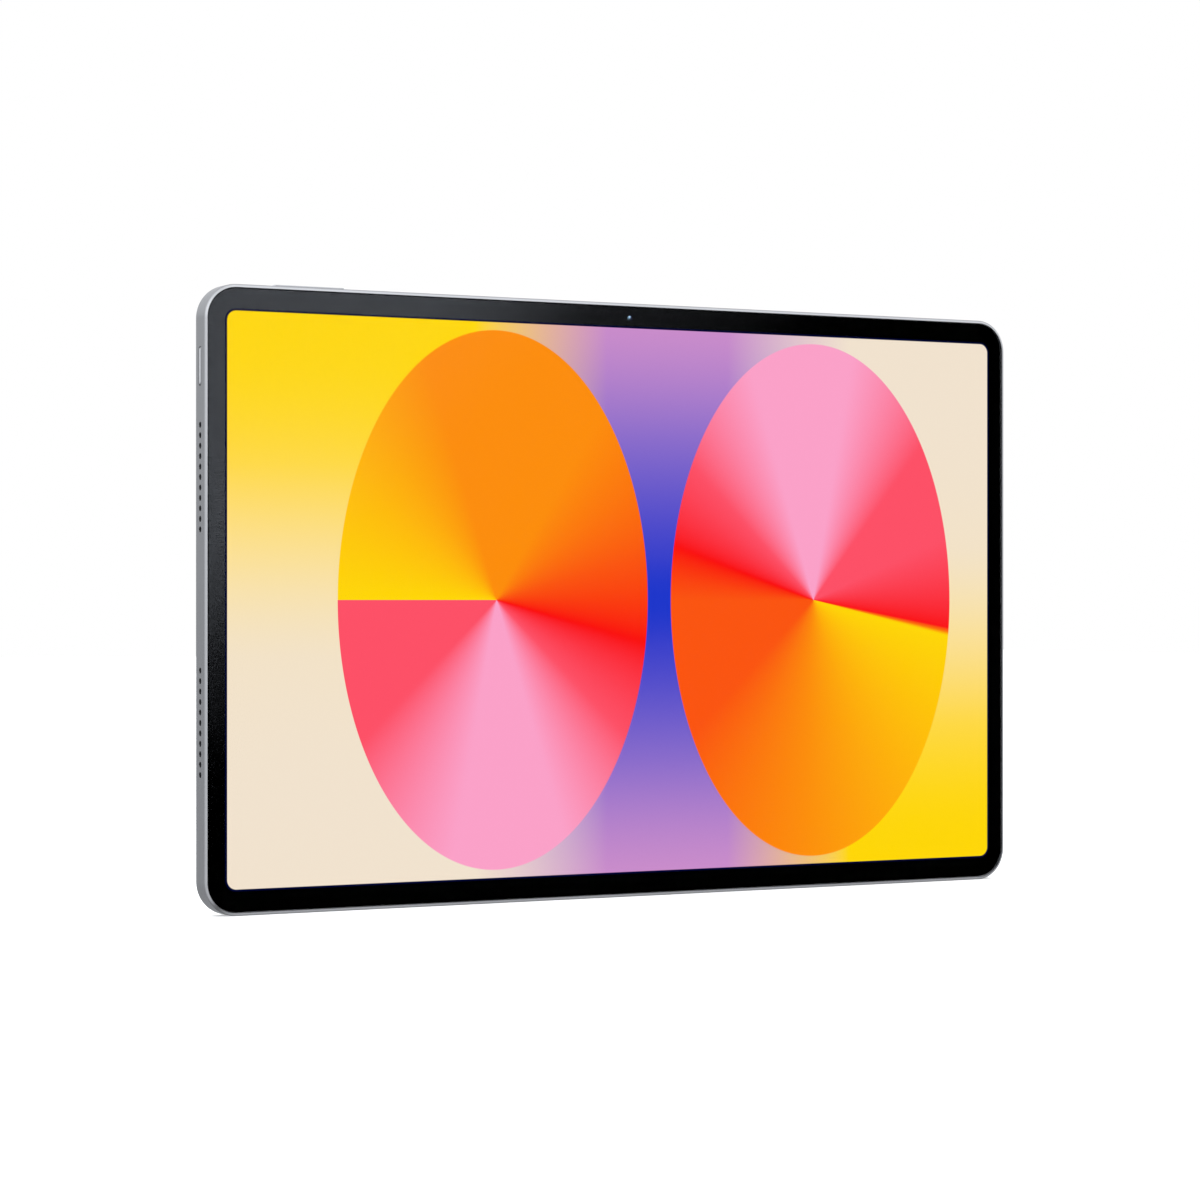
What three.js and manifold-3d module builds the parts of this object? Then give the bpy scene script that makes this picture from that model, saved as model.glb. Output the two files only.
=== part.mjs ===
// A 12-inch class tablet computer, built as an assembly of separate pieces, in millimetres.
// X runs from left to right as its screen is looked at, Y from the screen to the back, and Z up.
// It stands upright in landscape. The pieces are placed about the middle of the body, and the whole
// group is lifted at the end, so that the origin is on the middle of the long bottom edge.
import * as THREE from "three";
import { mergeVertices } from "three/addons/utils/BufferGeometryUtils.js";
import Module from "manifold-3d";

const wasm = await Module();
wasm.setup();

// ---- Driving dimensions ----
// Depths count back from the middle of the thickness. Heights count up from the middle of the body.
const BODY = { width: 273.8, height: 177.6, corner: 9.7 };
const HALF_W = BODY.width / 2;
const HALF_H = BODY.height / 2;
const HALF_T = 3.5; // from the middle of the thickness to the glass in front, or to the back
const RIM_DROP = 0.15; // the metal rim stands this far behind the face of the glass
const RIM_WIDTH = 1.0; // from the outside of the body to the edge of the glass
const EDGE_CHAMFER = 0.6; // polished chamfer round the front of the rim
const BACK_FILLET = 0.6; // round edge of the back
const WALL = 2.3; // side walls behind the ledge
const FLOOR = 0.8; // back wall
const AIR = 0.02; // gap between pieces that lie on each other
const FIT = 0.1; // gap between pieces that slide or drop into each other
const PRINT = 0.05; // room behind the glass for the black border printed on it
const WELD = 0.1; // how far two shapes reach into each other where they are joined
const SPARE = 4; // how far a cutting tool runs past the face that it cuts

const BACK = HALF_T; // depth of the outside of the back
const FLOOR_IN = BACK - FLOOR; // depth of the inside of the back wall
const CAVITY = { x: HALF_W - WALL, z: HALF_H - WALL, corner: BODY.corner - WALL };
const RIM_FRONT = -HALF_T + RIM_DROP;
const LEDGE = -2.6; // depth of the ledge that the glass is bonded to
const GLASS = {
  width: BODY.width - 2 * RIM_WIDTH,
  height: BODY.height - 2 * RIM_WIDTH,
  corner: BODY.corner - RIM_WIDTH,
  front: -HALF_T,
  back: -HALF_T + 0.6,
  softened: 0.15, // softened front edge
};

// The display module's layers, each behind the last.
const SCREEN = { width: 260.6, height: 162.9 }; // lit picture, 16:10 and 12.1 inches across
const MARGIN = { side: 2, top: 1.15, bottom: 2.95 }; // from the picture to the edge of the module
const PANEL = { front: GLASS.back + PRINT, back: -2.42 };
const FILMS = { front: -2.39, back: -2.24 };
const GUIDE = { front: -2.22, back: -1.87, bottom: -82.8 };
const LAMPS = { bottom: -83.9, top: -82.9, inset: 4 };
const TRAY = { front: -2.4, back: -1.65, sheet: 0.2, lip: 0.4, inset: 0.6 };
const DRIVER = { half: 96, front: -1.6, back: -1.05, bottom: -84, top: -76 };
const HEAT_SHEET = { half: 112, reach: 74, front: -1.62, back: -1.52 };

// Flat cables, and the boards that they join.
const CABLE = { thickness: 0.12, step: 6 };
const BOARD = { front: 0.6, back: 1.4, left: -66, right: 107, bottom: 42, top: 84 };
const NOTCH = { half: 5, floor: 79 }; // in the board's top edge, round the front camera
const ON_BOARD = BOARD.front - 0.15; // depth of a cable's face where it lies on the main board
const DISPLAY_CABLE = { left: -42, right: -22, front: -1.42, start: DRIVER.top + FIT, bend: 38, end: 51 };
const BATTERY_CABLE = { left: -12, right: -4, front: 0.75, start: 13.5, bend: 30, end: 50 };
const CELL = { inner: 6, width: 100, bottom: -70, top: 12, front: -0.75, corner: 2, bevel: 0.6 };
const PROTECTION = { half: 62, front: 0.9, back: 1.9, bottom: 12.8, top: 18.6 };
const CAN = { front: -0.9, wall: 0.2 };
const CHIP_HEIGHT = 0.9;

// Screws, and the bosses that they are driven into.
const SCREW = { head: 1.1, height: 0.5, shank: 0.52, way: 0.75, mainTip: 2.8, chargeTip: 2.9 };
const BOSS = { radius: 1.5, hole: 0.6, root: 0.2, end: 0.5 };
const MAIN_SCREWS = [
  [-62, 46],
  [-62, 79],
  [51, 79],
  [103, 46],
];
const CHARGE_SCREWS = [
  [119.5, 9.5],
  [119.5, -9.5],
];

// Cameras and flash.
const SELFIE = { x: 0, z: 84.4, half: 3, drop: 0.1, front: -1.5, back: 1.6, lens: 1.5 };
const SELFIE_ROOM = { half: 3.4, back: 1.9, top: 87.4 };
const LENS = { x: 117, z: HALF_H - 20, radius: 3.0 }; // main camera
const CAMERA = { half: 4.5, front: -0.6, back: 2.65, well: 0.3 };
const BARREL = { front: 0.6, back: 3.2, edge: 0.2, mouth: 1.9, throat: 1.4, sink: 0.5, dome: 0.15 };
const ISLAND = { x: 110, length: 32, height: 16, seat: BACK - 0.4, proud: 0.8, chamfer: 0.3 };
const ISLAND_WAY = { length: 27, height: 11 }; // opening in the back, behind the island
const PANE = { radius: 4.5, seat: 4.6, way: 3.7, sunk: 0.45, below: 0.08 };
const FLASH = { x: 103, z: LENS.z, rim: 2.1, stem: 1.2, step: 3.28, start: 2.3, half: 1.3 };
const FLASH_WAY = { rim: 2.2, stem: 1.4 };
const LED_BACK = 2.2;

// Keys, switches and openings in the walls.
const POWER = { z: 65.6, length: 10.9, width: 2.0, proud: 0.12, gap: 0.1 };
const VOLUME = { x: -103.8, length: 22.1, width: 2.1, proud: 0.55, post: 7, gap: 0.1, endGap: 0.2 };
const FLANGE = { width: 2.9, height: 0.4, power: 0.8, volume: 1.1 }; // and its reach past each cap
const POST = { half: 1, depth: 0.6, height: 0.4 };
const POWER_GAP = 0.3; // from a key's post to its switch: its travel and a little more
const VOLUME_GAP = 0.2;
const SWITCH = { thickness: 0.75, half: 1.8, depth: 0.8 };
const KEY_FLEX = { thickness: 0.2, bend: 6, bottom: 58, end: -60, front: -0.9, back: 0.5 };
const GRILLE = { holes: 11, pitch: 2.93, radius: 0.78, z: 34.45 };
const MIC = { x: 52, hole: 0.5, half: 1.9, depth: 1.2, top: 0.1, bottom: 1.4 };
const WINDOW = { x: 56, z: 84, length: 50, width: 1.6, gap: 0.05, slot: 2 }; // antenna windows

// Speakers.
const BOX = { out: CAVITY.x - 0.75, depth: 16.4, half: 18, front: -1.4, back: FLOOR_IN - FIT };
const BASIN = { width: 10, length: 27, back: 1.7 };
const THROAT = { half: 15, depth: 0.8, reach: 6 };
const MAGNET = { width: 5, length: 20, front: 0.2, back: 1.8 };
const CONE = { length: 24, width: 8.4, front: -1.0, back: -0.7 };
const CLOTH = { half: 16.4, depth: 1.3, out: 0.15, in: 0.55 };

// Charging socket, its board and its cable.
const SOCKET = { width: 8.94, height: 3.16, depth: 7.2, mouth: HALF_W - 0.2, wall: 0.25, base: 0.3 };
const TONGUE = { half: 3.35, depth: 0.35, sunk: 0.8, root: 1.6, start: 0.35 };
const CHARGE_BOARD = { left: 116.6, right: 134, half: 12, front: 1.65, back: 2.33 };
const CHARGE_CABLE = { front: 1.45, back: 1.58, left: 99, inner: 108.5, outer: 112.5, right: 121 };
const CHARGE_RUN = { half: 4, turn: 50, top: 56 };

// ---- Shapes and solids ----
// Exact quarter turns: an outline's own plane is turned to face the front, or a side wall.
const FACE_FRONT = new THREE.Matrix4().set(1, 0, 0, 0, 0, 0, -1, 0, 0, 1, 0, 0, 0, 0, 0, 1);
const FACE_SIDE = new THREE.Matrix4().set(0, 0, 1, 0, 1, 0, 0, 0, 0, 1, 0, 0, 0, 0, 0, 1);

function roundedRect(width, height, radius, cx = 0, cy = 0) {
  const dx = width / 2 - radius;
  const dy = height / 2 - radius;
  const quarter = Math.PI / 2;
  const shape = new THREE.Shape();
  shape.absarc(cx + dx, cy - dy, radius, -quarter, 0);
  shape.absarc(cx + dx, cy + dy, radius, 0, quarter);
  shape.absarc(cx - dx, cy + dy, radius, quarter, 2 * quarter);
  shape.absarc(cx - dx, cy - dy, radius, 2 * quarter, 3 * quarter);
  return shape;
}

// A slot with round ends, longer along the outline's x or its y.
function pill(width, height, cx = 0, cy = 0) {
  const radius = Math.min(width, height) / 2;
  const dx = width / 2 - radius;
  const dy = height / 2 - radius;
  const turn = dy > dx ? Math.PI / 2 : 0;
  const shape = new THREE.Shape();
  shape.absarc(cx + dx, cy + dy, radius, turn - Math.PI / 2, turn + Math.PI / 2);
  shape.absarc(cx - dx, cy - dy, radius, turn + Math.PI / 2, turn + 1.5 * Math.PI);
  return shape;
}

function polygon(points) {
  return new THREE.Shape(points.map(([x, y]) => new THREE.Vector2(x, y)));
}

// An outline in X and Z, as a plate from one depth to another. options may hold a bevel.
function plate(outline, front, back, segments = 4, options = {}) {
  const bevel = options.bevelThickness ?? 0;
  const made = new THREE.ExtrudeGeometry(outline, {
    depth: back - front - 2 * bevel,
    curveSegments: segments,
    bevelEnabled: false,
    ...options,
  });
  return made.applyMatrix4(FACE_FRONT).translate(0, back - bevel, 0);
}

// An outline in Y and Z, run from one X to another.
function across(outline, x0, x1, segments = 4) {
  const made = new THREE.ExtrudeGeometry(outline, {
    depth: x1 - x0,
    curveSegments: segments,
    bevelEnabled: false,
  });
  return made.applyMatrix4(FACE_SIDE).translate(x0, 0, 0);
}

// An outline in X and Y, run from one Z to another.
function upwards(outline, z0, z1, segments = 4) {
  const made = new THREE.ExtrudeGeometry(outline, {
    depth: z1 - z0,
    curveSegments: segments,
    bevelEnabled: false,
  });
  return made.translate(0, 0, z0);
}

function block([x0, x1], [y0, y1], [z0, z1]) {
  const made = new THREE.BoxGeometry(x1 - x0, y1 - y0, z1 - z0);
  return made.translate((x0 + x1) / 2, (y0 + y1) / 2, (z0 + z1) / 2);
}

// A round bar along the depth, from one depth to another.
function bar(radius, x, z, front, back, sides = 12) {
  const made = new THREE.CylinderGeometry(radius, radius, back - front, sides);
  return made.translate(x, (front + back) / 2, z);
}

// A turned piece: profile points are [radius, depth], and its axis runs along the depth.
function turned(profile, x, z, sides = 20) {
  const points = profile.map(([r, y]) => new THREE.Vector2(r, y));
  return new THREE.LatheGeometry(points, sides).translate(x, 0, z);
}

function toSolid(geometry) {
  const loose = geometry.index ? geometry.toNonIndexed() : geometry.clone();
  loose.deleteAttribute("normal");
  loose.deleteAttribute("uv");
  const merged = mergeVertices(loose, 1e-4);
  return new wasm.Manifold(
    new wasm.Mesh({
      numProp: 3,
      vertProperties: merged.attributes.position.array,
      triVerts: new Uint32Array(merged.index.array),
    }),
  );
}

function toGeometry(solid) {
  const mesh = solid.getMesh();
  const geometry = new THREE.BufferGeometry();
  const positions = new THREE.BufferAttribute(new Float32Array(mesh.vertProperties), 3);
  geometry.setAttribute("position", positions);
  geometry.setIndex(new THREE.BufferAttribute(new Uint32Array(mesh.triVerts), 1));
  geometry.computeVertexNormals();
  return geometry;
}

const cut = (body, ...tools) =>
  toGeometry(tools.reduce((left, tool) => left.subtract(toSolid(tool)), toSolid(body)));
const join = (...parts) =>
  toGeometry(parts.map(toSolid).reduce((whole, part) => whole.add(part)));

// ---- Materials ----
const finish = (color, roughness, metalness = 0) =>
  new THREE.MeshStandardMaterial({ color, roughness, metalness });
const ALUMINIUM = finish(0x8c8c90, 0.42, 1);
const STEEL = finish(0xb9bcc0, 0.3, 1);
const COVER_GLASS = finish(0x08090b, 0.04);
const CLEAR_GLASS = finish(0x1a1f28, 0.03);
const SCREEN_CELL = finish(0x6a5cc8, 0.2);
const CLEAR_SHEET = finish(0xe8eef2, 0.15);
const BLACK_PLASTIC = finish(0x17181a, 0.55);
const GREY_PLASTIC = finish(0x77787c, 0.5);
const WHITE_PLASTIC = finish(0xf2f0e6, 0.4);
const FLEX = finish(0x6d3f16, 0.4);
const CIRCUIT_BOARD = finish(0x12382b, 0.5);
const CHIP = finish(0x1d1e20, 0.45);
const POUCH = finish(0x2b2d31, 0.35, 0.4);
const GRAPHITE = finish(0x3a3b3d, 0.6);
const MESH_CLOTH = finish(0x101113, 0.9);

const tablet = new THREE.Group();
function add(name, geometry, material) {
  const mesh = new THREE.Mesh(geometry, material);
  mesh.name = name;
  tablet.add(mesh);
}

// ---- Rear housing: one milled aluminium tray with its side walls, ledge, ports and bosses ----
const bodyOutline = () => roundedRect(BODY.width, BODY.height, BODY.corner);
const roundBack = plate(bodyOutline(), -HALF_T - SPARE, BACK, 5, {
  bevelEnabled: true,
  bevelThickness: BACK_FILLET,
  bevelSize: BACK_FILLET,
  bevelOffset: -BACK_FILLET,
  bevelSegments: 4,
});
const chamferedFront = plate(bodyOutline(), RIM_FRONT, BACK + SPARE, 5, {
  bevelEnabled: true,
  bevelThickness: EDGE_CHAMFER,
  bevelSize: EDGE_CHAMFER,
  bevelOffset: -EDGE_CHAMFER,
  bevelSegments: 1,
});
const pocket = roundedRect(GLASS.width + 2 * FIT, GLASS.height + 2 * FIT, GLASS.corner + FIT);
const hollow = roundedRect(2 * CAVITY.x, 2 * CAVITY.z, CAVITY.corner);
const tray = toSolid(roundBack)
  .intersect(toSolid(chamferedFront))
  .subtract(toSolid(plate(pocket, -SPARE, LEDGE, 5)))
  .subtract(toSolid(plate(hollow, -SPARE, FLOOR_IN, 5)));

// Bosses stand on the inside of the back, a little short of the boards that they carry.
const boss = ([x, z], back) => bar(BOSS.radius, x, z, back + FIT / 2, FLOOR_IN + BOSS.root);
const bosses = [
  ...MAIN_SCREWS.map((at) => boss(at, BOARD.back)),
  ...CHARGE_SCREWS.map((at) => boss(at, CHARGE_BOARD.back)),
];
const circle = (radius, x = 0, y = 0) => new THREE.Shape().absarc(x, y, radius, 0, 2 * Math.PI);
const throughWall = (side) =>
  side < 0 ? [-HALF_W - 1, -CAVITY.x + 1] : [CAVITY.x - 1, HALF_W + 1];
const grilleHoles = [];
for (const side of [-1, 1]) {
  for (const group of [-1, 1]) {
    for (let i = 0; i < GRILLE.holes; i++) {
      const z = group * GRILLE.z + (i - (GRILLE.holes - 1) / 2) * GRILLE.pitch;
      grilleHoles.push(across(circle(GRILLE.radius, 0, z), ...throughWall(side), 6));
    }
  }
}
const throughTop = [CAVITY.z - 1, HALF_H + 1];
const powerSlot = pill(POWER.width + 2 * POWER.gap, POWER.length + 2 * POWER.gap, 0, POWER.z);
const volumeSlot = pill(VOLUME.length + 2 * VOLUME.endGap, VOLUME.width + 2 * VOLUME.gap, VOLUME.x, 0);
const socketMouth = pill(SOCKET.height + 3 * FIT, SOCKET.width + 3 * FIT);
const islandSeat = pill(ISLAND.length + 2 * FIT, ISLAND.height + 2 * FIT, ISLAND.x, LENS.z);
const islandWay = pill(ISLAND_WAY.length, ISLAND_WAY.height, ISLAND.x, LENS.z);
const windowOutline = (side, gap) =>
  pill(WINDOW.length + 2 * gap, WINDOW.width + 2 * gap, side * WINDOW.x, WINDOW.z);
const openings = [
  across(powerSlot, ...throughWall(-1)),
  across(socketMouth, ...throughWall(1)),
  upwards(volumeSlot, ...throughTop),
  upwards(circle(MIC.hole, MIC.x, 0), ...throughTop),
  block(
    [-SELFIE_ROOM.half, SELFIE_ROOM.half],
    [-SPARE, SELFIE_ROOM.back],
    [throughTop[0], SELFIE_ROOM.top],
  ),
  plate(islandSeat, ISLAND.seat, BACK + 1, 8),
  plate(islandWay, FLOOR_IN - 1, BACK + 1, 6),
  ...[-1, 1].map((side) => plate(windowOutline(side, WINDOW.gap), WINDOW.slot, BACK + 1)),
  ...[...MAIN_SCREWS, ...CHARGE_SCREWS].map(([x, z]) => bar(BOSS.hole, x, z, 0, BACK - BOSS.end, 8)),
];
const bossed = bosses.reduce((whole, post) => whole.add(toSolid(post)), tray);
const drilled = [...grilleHoles, ...openings].reduce((left, t) => left.subtract(toSolid(t)), bossed);
add("rear_housing", toGeometry(drilled), ALUMINIUM);
for (const [side, s] of [
  ["left", -1],
  ["right", 1],
]) {
  add(`antenna_window_${side}`, plate(windowOutline(s, 0), FLOOR_IN, BACK), GREY_PLASTIC);
}

// ---- Display: cover glass, its bond line, and the layers of the module behind it ----
add(
  "cover_glass",
  plate(roundedRect(GLASS.width, GLASS.height, GLASS.corner), GLASS.front, GLASS.back, 5, {
    bevelEnabled: true,
    bevelThickness: GLASS.softened,
    bevelSize: GLASS.softened,
    bevelOffset: -GLASS.softened,
    bevelSegments: 1,
  }),
  COVER_GLASS,
);
const bond = roundedRect(GLASS.width - 2 * FIT, GLASS.height - 2 * FIT, GLASS.corner - FIT);
bond.holes.push(roundedRect(2 * (CAVITY.x + FIT), 2 * (CAVITY.z + FIT), CAVITY.corner + FIT));
add("display_adhesive", plate(bond, GLASS.back + PRINT, LEDGE - AIR, 5), BLACK_PLASTIC);

// The module reaches a little past the lit picture, most of all at the bottom, where the picture's
// wiring is, and stops short of the front camera at the top.
const MODULE = {
  x: SCREEN.width / 2 + MARGIN.side,
  top: SCREEN.height / 2 + MARGIN.top,
  bottom: -SCREEN.height / 2 - MARGIN.bottom,
};
function layer(name, inset, { front, back }, material, bottom = MODULE.bottom + inset) {
  const sides = [-MODULE.x + inset, MODULE.x - inset];
  add(name, block(sides, [front, back], [bottom, MODULE.top - inset]), material);
}
layer("lcd_panel", 0, PANEL, SCREEN_CELL);
layer("optical_film_stack", TRAY.inset, FILMS, CLEAR_SHEET, GUIDE.bottom);
layer("light_guide_plate", TRAY.inset, GUIDE, CLEAR_SHEET, GUIDE.bottom);
const lampSides = [-MODULE.x + LAMPS.inset, MODULE.x - LAMPS.inset];
const lampRow = block(lampSides, [GUIDE.front, GUIDE.back], [LAMPS.bottom, LAMPS.top]);
add("backlight_led_strip", lampRow, WHITE_PLASTIC);
const moduleBox = (inset, front, back) =>
  block(
    [-MODULE.x + inset, MODULE.x - inset],
    [front, back],
    [MODULE.bottom + inset, MODULE.top - inset],
  );
const trayPan = moduleBox(0, TRAY.front, TRAY.back);
const trayInside = moduleBox(TRAY.lip, -SPARE, TRAY.back - TRAY.sheet);
add("backlight_tray", cut(trayPan, trayInside), STEEL);
add(
  "display_driver_board",
  block([-DRIVER.half, DRIVER.half], [DRIVER.front, DRIVER.back], [DRIVER.bottom, DRIVER.top]),
  CIRCUIT_BOARD,
);

// A flat cable up the inside of the tablet. It steps back, and ends on the face of the main board.
function risingCable({ left, right, front, start, bend, end }) {
  const face = [
    [front, start],
    [front, bend],
    [ON_BOARD, bend + CABLE.step],
    [ON_BOARD, end],
  ];
  const back = face.map(([depth, z]) => [depth + CABLE.thickness, z]).reverse();
  return across(polygon([...face, ...back]), left, right);
}
add("display_flex", risingCable(DISPLAY_CABLE), FLEX);
add(
  "graphite_sheet",
  block(
    [-HEAT_SHEET.half, HEAT_SHEET.half],
    [HEAT_SHEET.front, HEAT_SHEET.back],
    [-HEAT_SHEET.reach, HEAT_SHEET.reach],
  ),
  GRAPHITE,
);

// ---- Battery: two pouch cells side by side, with their protection board and cable ----
for (const [side, s] of [
  ["left", -1],
  ["right", 1],
]) {
  const middle = [s * (CELL.inner + CELL.width / 2), (CELL.top + CELL.bottom) / 2];
  const outline = roundedRect(CELL.width, CELL.top - CELL.bottom, CELL.corner, ...middle);
  const cell = plate(outline, CELL.front, FLOOR_IN - FIT / 2, 2, {
    bevelEnabled: true,
    bevelThickness: CELL.bevel,
    bevelSize: CELL.bevel,
    bevelOffset: -CELL.bevel,
    bevelSegments: 1,
  });
  add(`battery_cell_${side}`, cell, POUCH);
}
add(
  "battery_protection_board",
  block(
    [-PROTECTION.half, PROTECTION.half],
    [PROTECTION.front, PROTECTION.back],
    [PROTECTION.bottom, PROTECTION.top],
  ),
  CIRCUIT_BOARD,
);
add("battery_flex", risingCable(BATTERY_CABLE), FLEX);

// ---- Main board, with the chips that it carries under their shield cans ----
const boardOutline = polygon([
  [BOARD.left, BOARD.bottom],
  [BOARD.right, BOARD.bottom],
  [BOARD.right, BOARD.top],
  [NOTCH.half, BOARD.top],
  [NOTCH.half, NOTCH.floor],
  [-NOTCH.half, NOTCH.floor],
  [-NOTCH.half, BOARD.top],
  [BOARD.left, BOARD.top],
]);
add(
  "main_board",
  cut(
    plate(boardOutline, BOARD.front, BOARD.back),
    ...MAIN_SCREWS.map(([x, z]) => bar(SCREW.way, x, z, BOARD.front - 1, BOARD.back + 1)),
  ),
  CIRCUIT_BOARD,
);
const CHIP_BACK = BOARD.front - AIR; // soldered pieces end just short of the board's face
function shieldCan(name, [x0, x1], [z0, z1]) {
  const outer = block([x0, x1], [CAN.front, CHIP_BACK], [z0, z1]);
  const inner = block(
    [x0 + CAN.wall, x1 - CAN.wall],
    [CAN.front + CAN.wall, CHIP_BACK + 1],
    [z0 + CAN.wall, z1 - CAN.wall],
  );
  add(name, cut(outer, inner), STEEL);
}
function chip(name, size, x, z) {
  const half = size / 2;
  add(name, block([x - half, x + half], [CHIP_BACK - CHIP_HEIGHT, CHIP_BACK], [z - half, z + half]), CHIP);
}
shieldCan("shield_can_processor", [8, 44], [46, 76]);
shieldCan("shield_can_radio", [60, 90], [50, 76]);
chip("processor_chip", 15, 19, 61);
chip("storage_chip", 11.5, 35, 61);
chip("radio_chip", 9, 74, 63);

// ---- Cameras ----
const around = (middle, half) => [middle - half, middle + half];
add(
  "front_camera_body",
  block(
    around(SELFIE.x, SELFIE.half),
    [SELFIE.front, SELFIE.back],
    around(SELFIE.z - SELFIE.drop, SELFIE.half),
  ),
  BLACK_PLASTIC,
);
const selfieLens = bar(SELFIE.lens, SELFIE.x, SELFIE.z, PANEL.front, SELFIE.front - AIR, 20);
add("front_camera_lens", selfieLens, CLEAR_GLASS);

add(
  "rear_camera_body",
  cut(
    block(around(LENS.x, CAMERA.half), [CAMERA.front, CAMERA.back], around(LENS.z, CAMERA.half)),
    bar(LENS.radius + FIT, LENS.x, LENS.z, CAMERA.well, SPARE, 20),
  ),
  STEEL,
);
add(
  "rear_camera_lens_barrel",
  turned(
    [
      [0, BARREL.front],
      [LENS.radius, BARREL.front],
      [LENS.radius, BARREL.back - BARREL.edge],
      [LENS.radius - BARREL.edge, BARREL.back],
      [BARREL.mouth, BARREL.back],
      [BARREL.throat, BARREL.back - BARREL.sink],
      [0, BARREL.back - BARREL.sink + BARREL.dome],
    ],
    LENS.x,
    LENS.z,
  ),
  BLACK_PLASTIC,
);
// The island holds both windows. Its seat drops into the recess milled in the back.
const ISLAND_FACE = BACK + ISLAND.proud;
const PANE_SEAT = ISLAND_FACE - PANE.sunk;
const PANE_FACE = ISLAND_FACE - PANE.below;
const islandPill = pill(ISLAND.length, ISLAND.height, ISLAND.x, LENS.z);
add(
  "camera_island",
  cut(
    plate(islandPill, ISLAND.seat + AIR, ISLAND_FACE, 8, {
      bevelEnabled: true,
      bevelThickness: ISLAND.chamfer,
      bevelSize: ISLAND.chamfer,
      bevelOffset: -ISLAND.chamfer,
      bevelSegments: 1,
    }),
    bar(PANE.seat, LENS.x, LENS.z, PANE_SEAT, ISLAND_FACE + 1, 24),
    bar(PANE.way, LENS.x, LENS.z, ISLAND.seat - 1, ISLAND_FACE + 1, 24),
    bar(FLASH_WAY.rim, FLASH.x, FLASH.z, FLASH.step, ISLAND_FACE + 1, 16),
    bar(FLASH_WAY.stem, FLASH.x, FLASH.z, ISLAND.seat - 1, ISLAND_FACE + 1, 16),
  ),
  ALUMINIUM,
);
const pane = bar(PANE.radius, LENS.x, LENS.z, PANE_SEAT + AIR, PANE_FACE, 24);
add("rear_camera_window", pane, CLEAR_GLASS);
add(
  "flash_lens",
  turned(
    [
      [0, FLASH.start],
      [FLASH.stem, FLASH.start],
      [FLASH.stem, FLASH.step + AIR],
      [FLASH.rim, FLASH.step + AIR],
      [FLASH.rim, PANE_FACE],
      [0, PANE_FACE],
    ],
    FLASH.x,
    FLASH.z,
    16,
  ),
  CLEAR_SHEET,
);
add(
  "flash_led",
  block(around(FLASH.x, FLASH.half), [BOARD.back + AIR, LED_BACK], around(FLASH.z, FLASH.half)),
  WHITE_PLASTIC,
);

// ---- Keys: caps in the walls, with flanges that hold them in, posts, and switches behind ----
const powerFlange = { out: -CAVITY.x + FIT, in: -CAVITY.x + FIT + FLANGE.height };
const powerTip = powerFlange.in + POST.height;
const powerCap = pill(POWER.width, POWER.length, 0, POWER.z);
const powerFoot = pill(FLANGE.width, POWER.length + 2 * FLANGE.power, 0, POWER.z);
add(
  "power_button",
  join(
    across(powerCap, -HALF_W - POWER.proud, powerFlange.out + WELD, 5),
    across(powerFoot, powerFlange.out, powerFlange.in, 3),
    block([powerFlange.in - WELD, powerTip], around(0, POST.depth), around(POWER.z, POST.half)),
  ),
  ALUMINIUM,
);
const powerSwitchFace = powerTip + POWER_GAP;
add(
  "power_switch",
  block(
    [powerSwitchFace, powerSwitchFace + SWITCH.thickness],
    around(0, SWITCH.depth),
    around(POWER.z, SWITCH.half),
  ),
  BLACK_PLASTIC,
);
const volumeFlange = { top: CAVITY.z - 3 * FIT, bottom: CAVITY.z - 3 * FIT - FLANGE.height };
const volumeTip = volumeFlange.bottom - POST.height;
const volumePosts = [-1, 1].map((s) =>
  block(
    around(VOLUME.x + s * VOLUME.post, POST.half),
    around(0, POST.depth),
    [volumeTip, volumeFlange.bottom + WELD],
  ),
);
const volumeCap = pill(VOLUME.length, VOLUME.width, VOLUME.x, 0);
const volumeFoot = pill(VOLUME.length + 2 * FLANGE.volume, FLANGE.width, VOLUME.x, 0);
add(
  "volume_rocker",
  join(
    upwards(volumeCap, volumeFlange.top - WELD, HALF_H + VOLUME.proud, 5),
    upwards(volumeFoot, volumeFlange.bottom, volumeFlange.top, 3),
    ...volumePosts,
  ),
  ALUMINIUM,
);
const volumeSwitchTop = volumeTip - VOLUME_GAP;
for (const [key, s] of [
  ["down", -1],
  ["up", 1],
]) {
  add(
    `volume_${key}_switch`,
    block(
      around(VOLUME.x + s * VOLUME.post, SWITCH.half),
      around(0, SWITCH.depth),
      [volumeSwitchTop - SWITCH.thickness, volumeSwitchTop],
    ),
    BLACK_PLASTIC,
  );
}
// One flexible circuit runs behind all three switches, round the corner, to the main board.
const flexOut = {
  x: powerSwitchFace + SWITCH.thickness + AIR,
  z: volumeSwitchTop - SWITCH.thickness - AIR,
};
const { bend, thickness, bottom, end } = KEY_FLEX;
const quarter = Math.PI / 2;
const keyFlex = new THREE.Shape();
keyFlex.moveTo(flexOut.x + thickness, bottom);
keyFlex.lineTo(flexOut.x + thickness, flexOut.z - bend);
keyFlex.absarc(flexOut.x + bend, flexOut.z - bend, bend - thickness, Math.PI, quarter, true);
keyFlex.lineTo(end, flexOut.z - thickness);
keyFlex.lineTo(end, flexOut.z);
keyFlex.absarc(flexOut.x + bend, flexOut.z - bend, bend, quarter, Math.PI);
keyFlex.lineTo(flexOut.x, bottom);
add("key_flex", plate(keyFlex, KEY_FLEX.front, KEY_FLEX.back, 3), FLEX);

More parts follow.
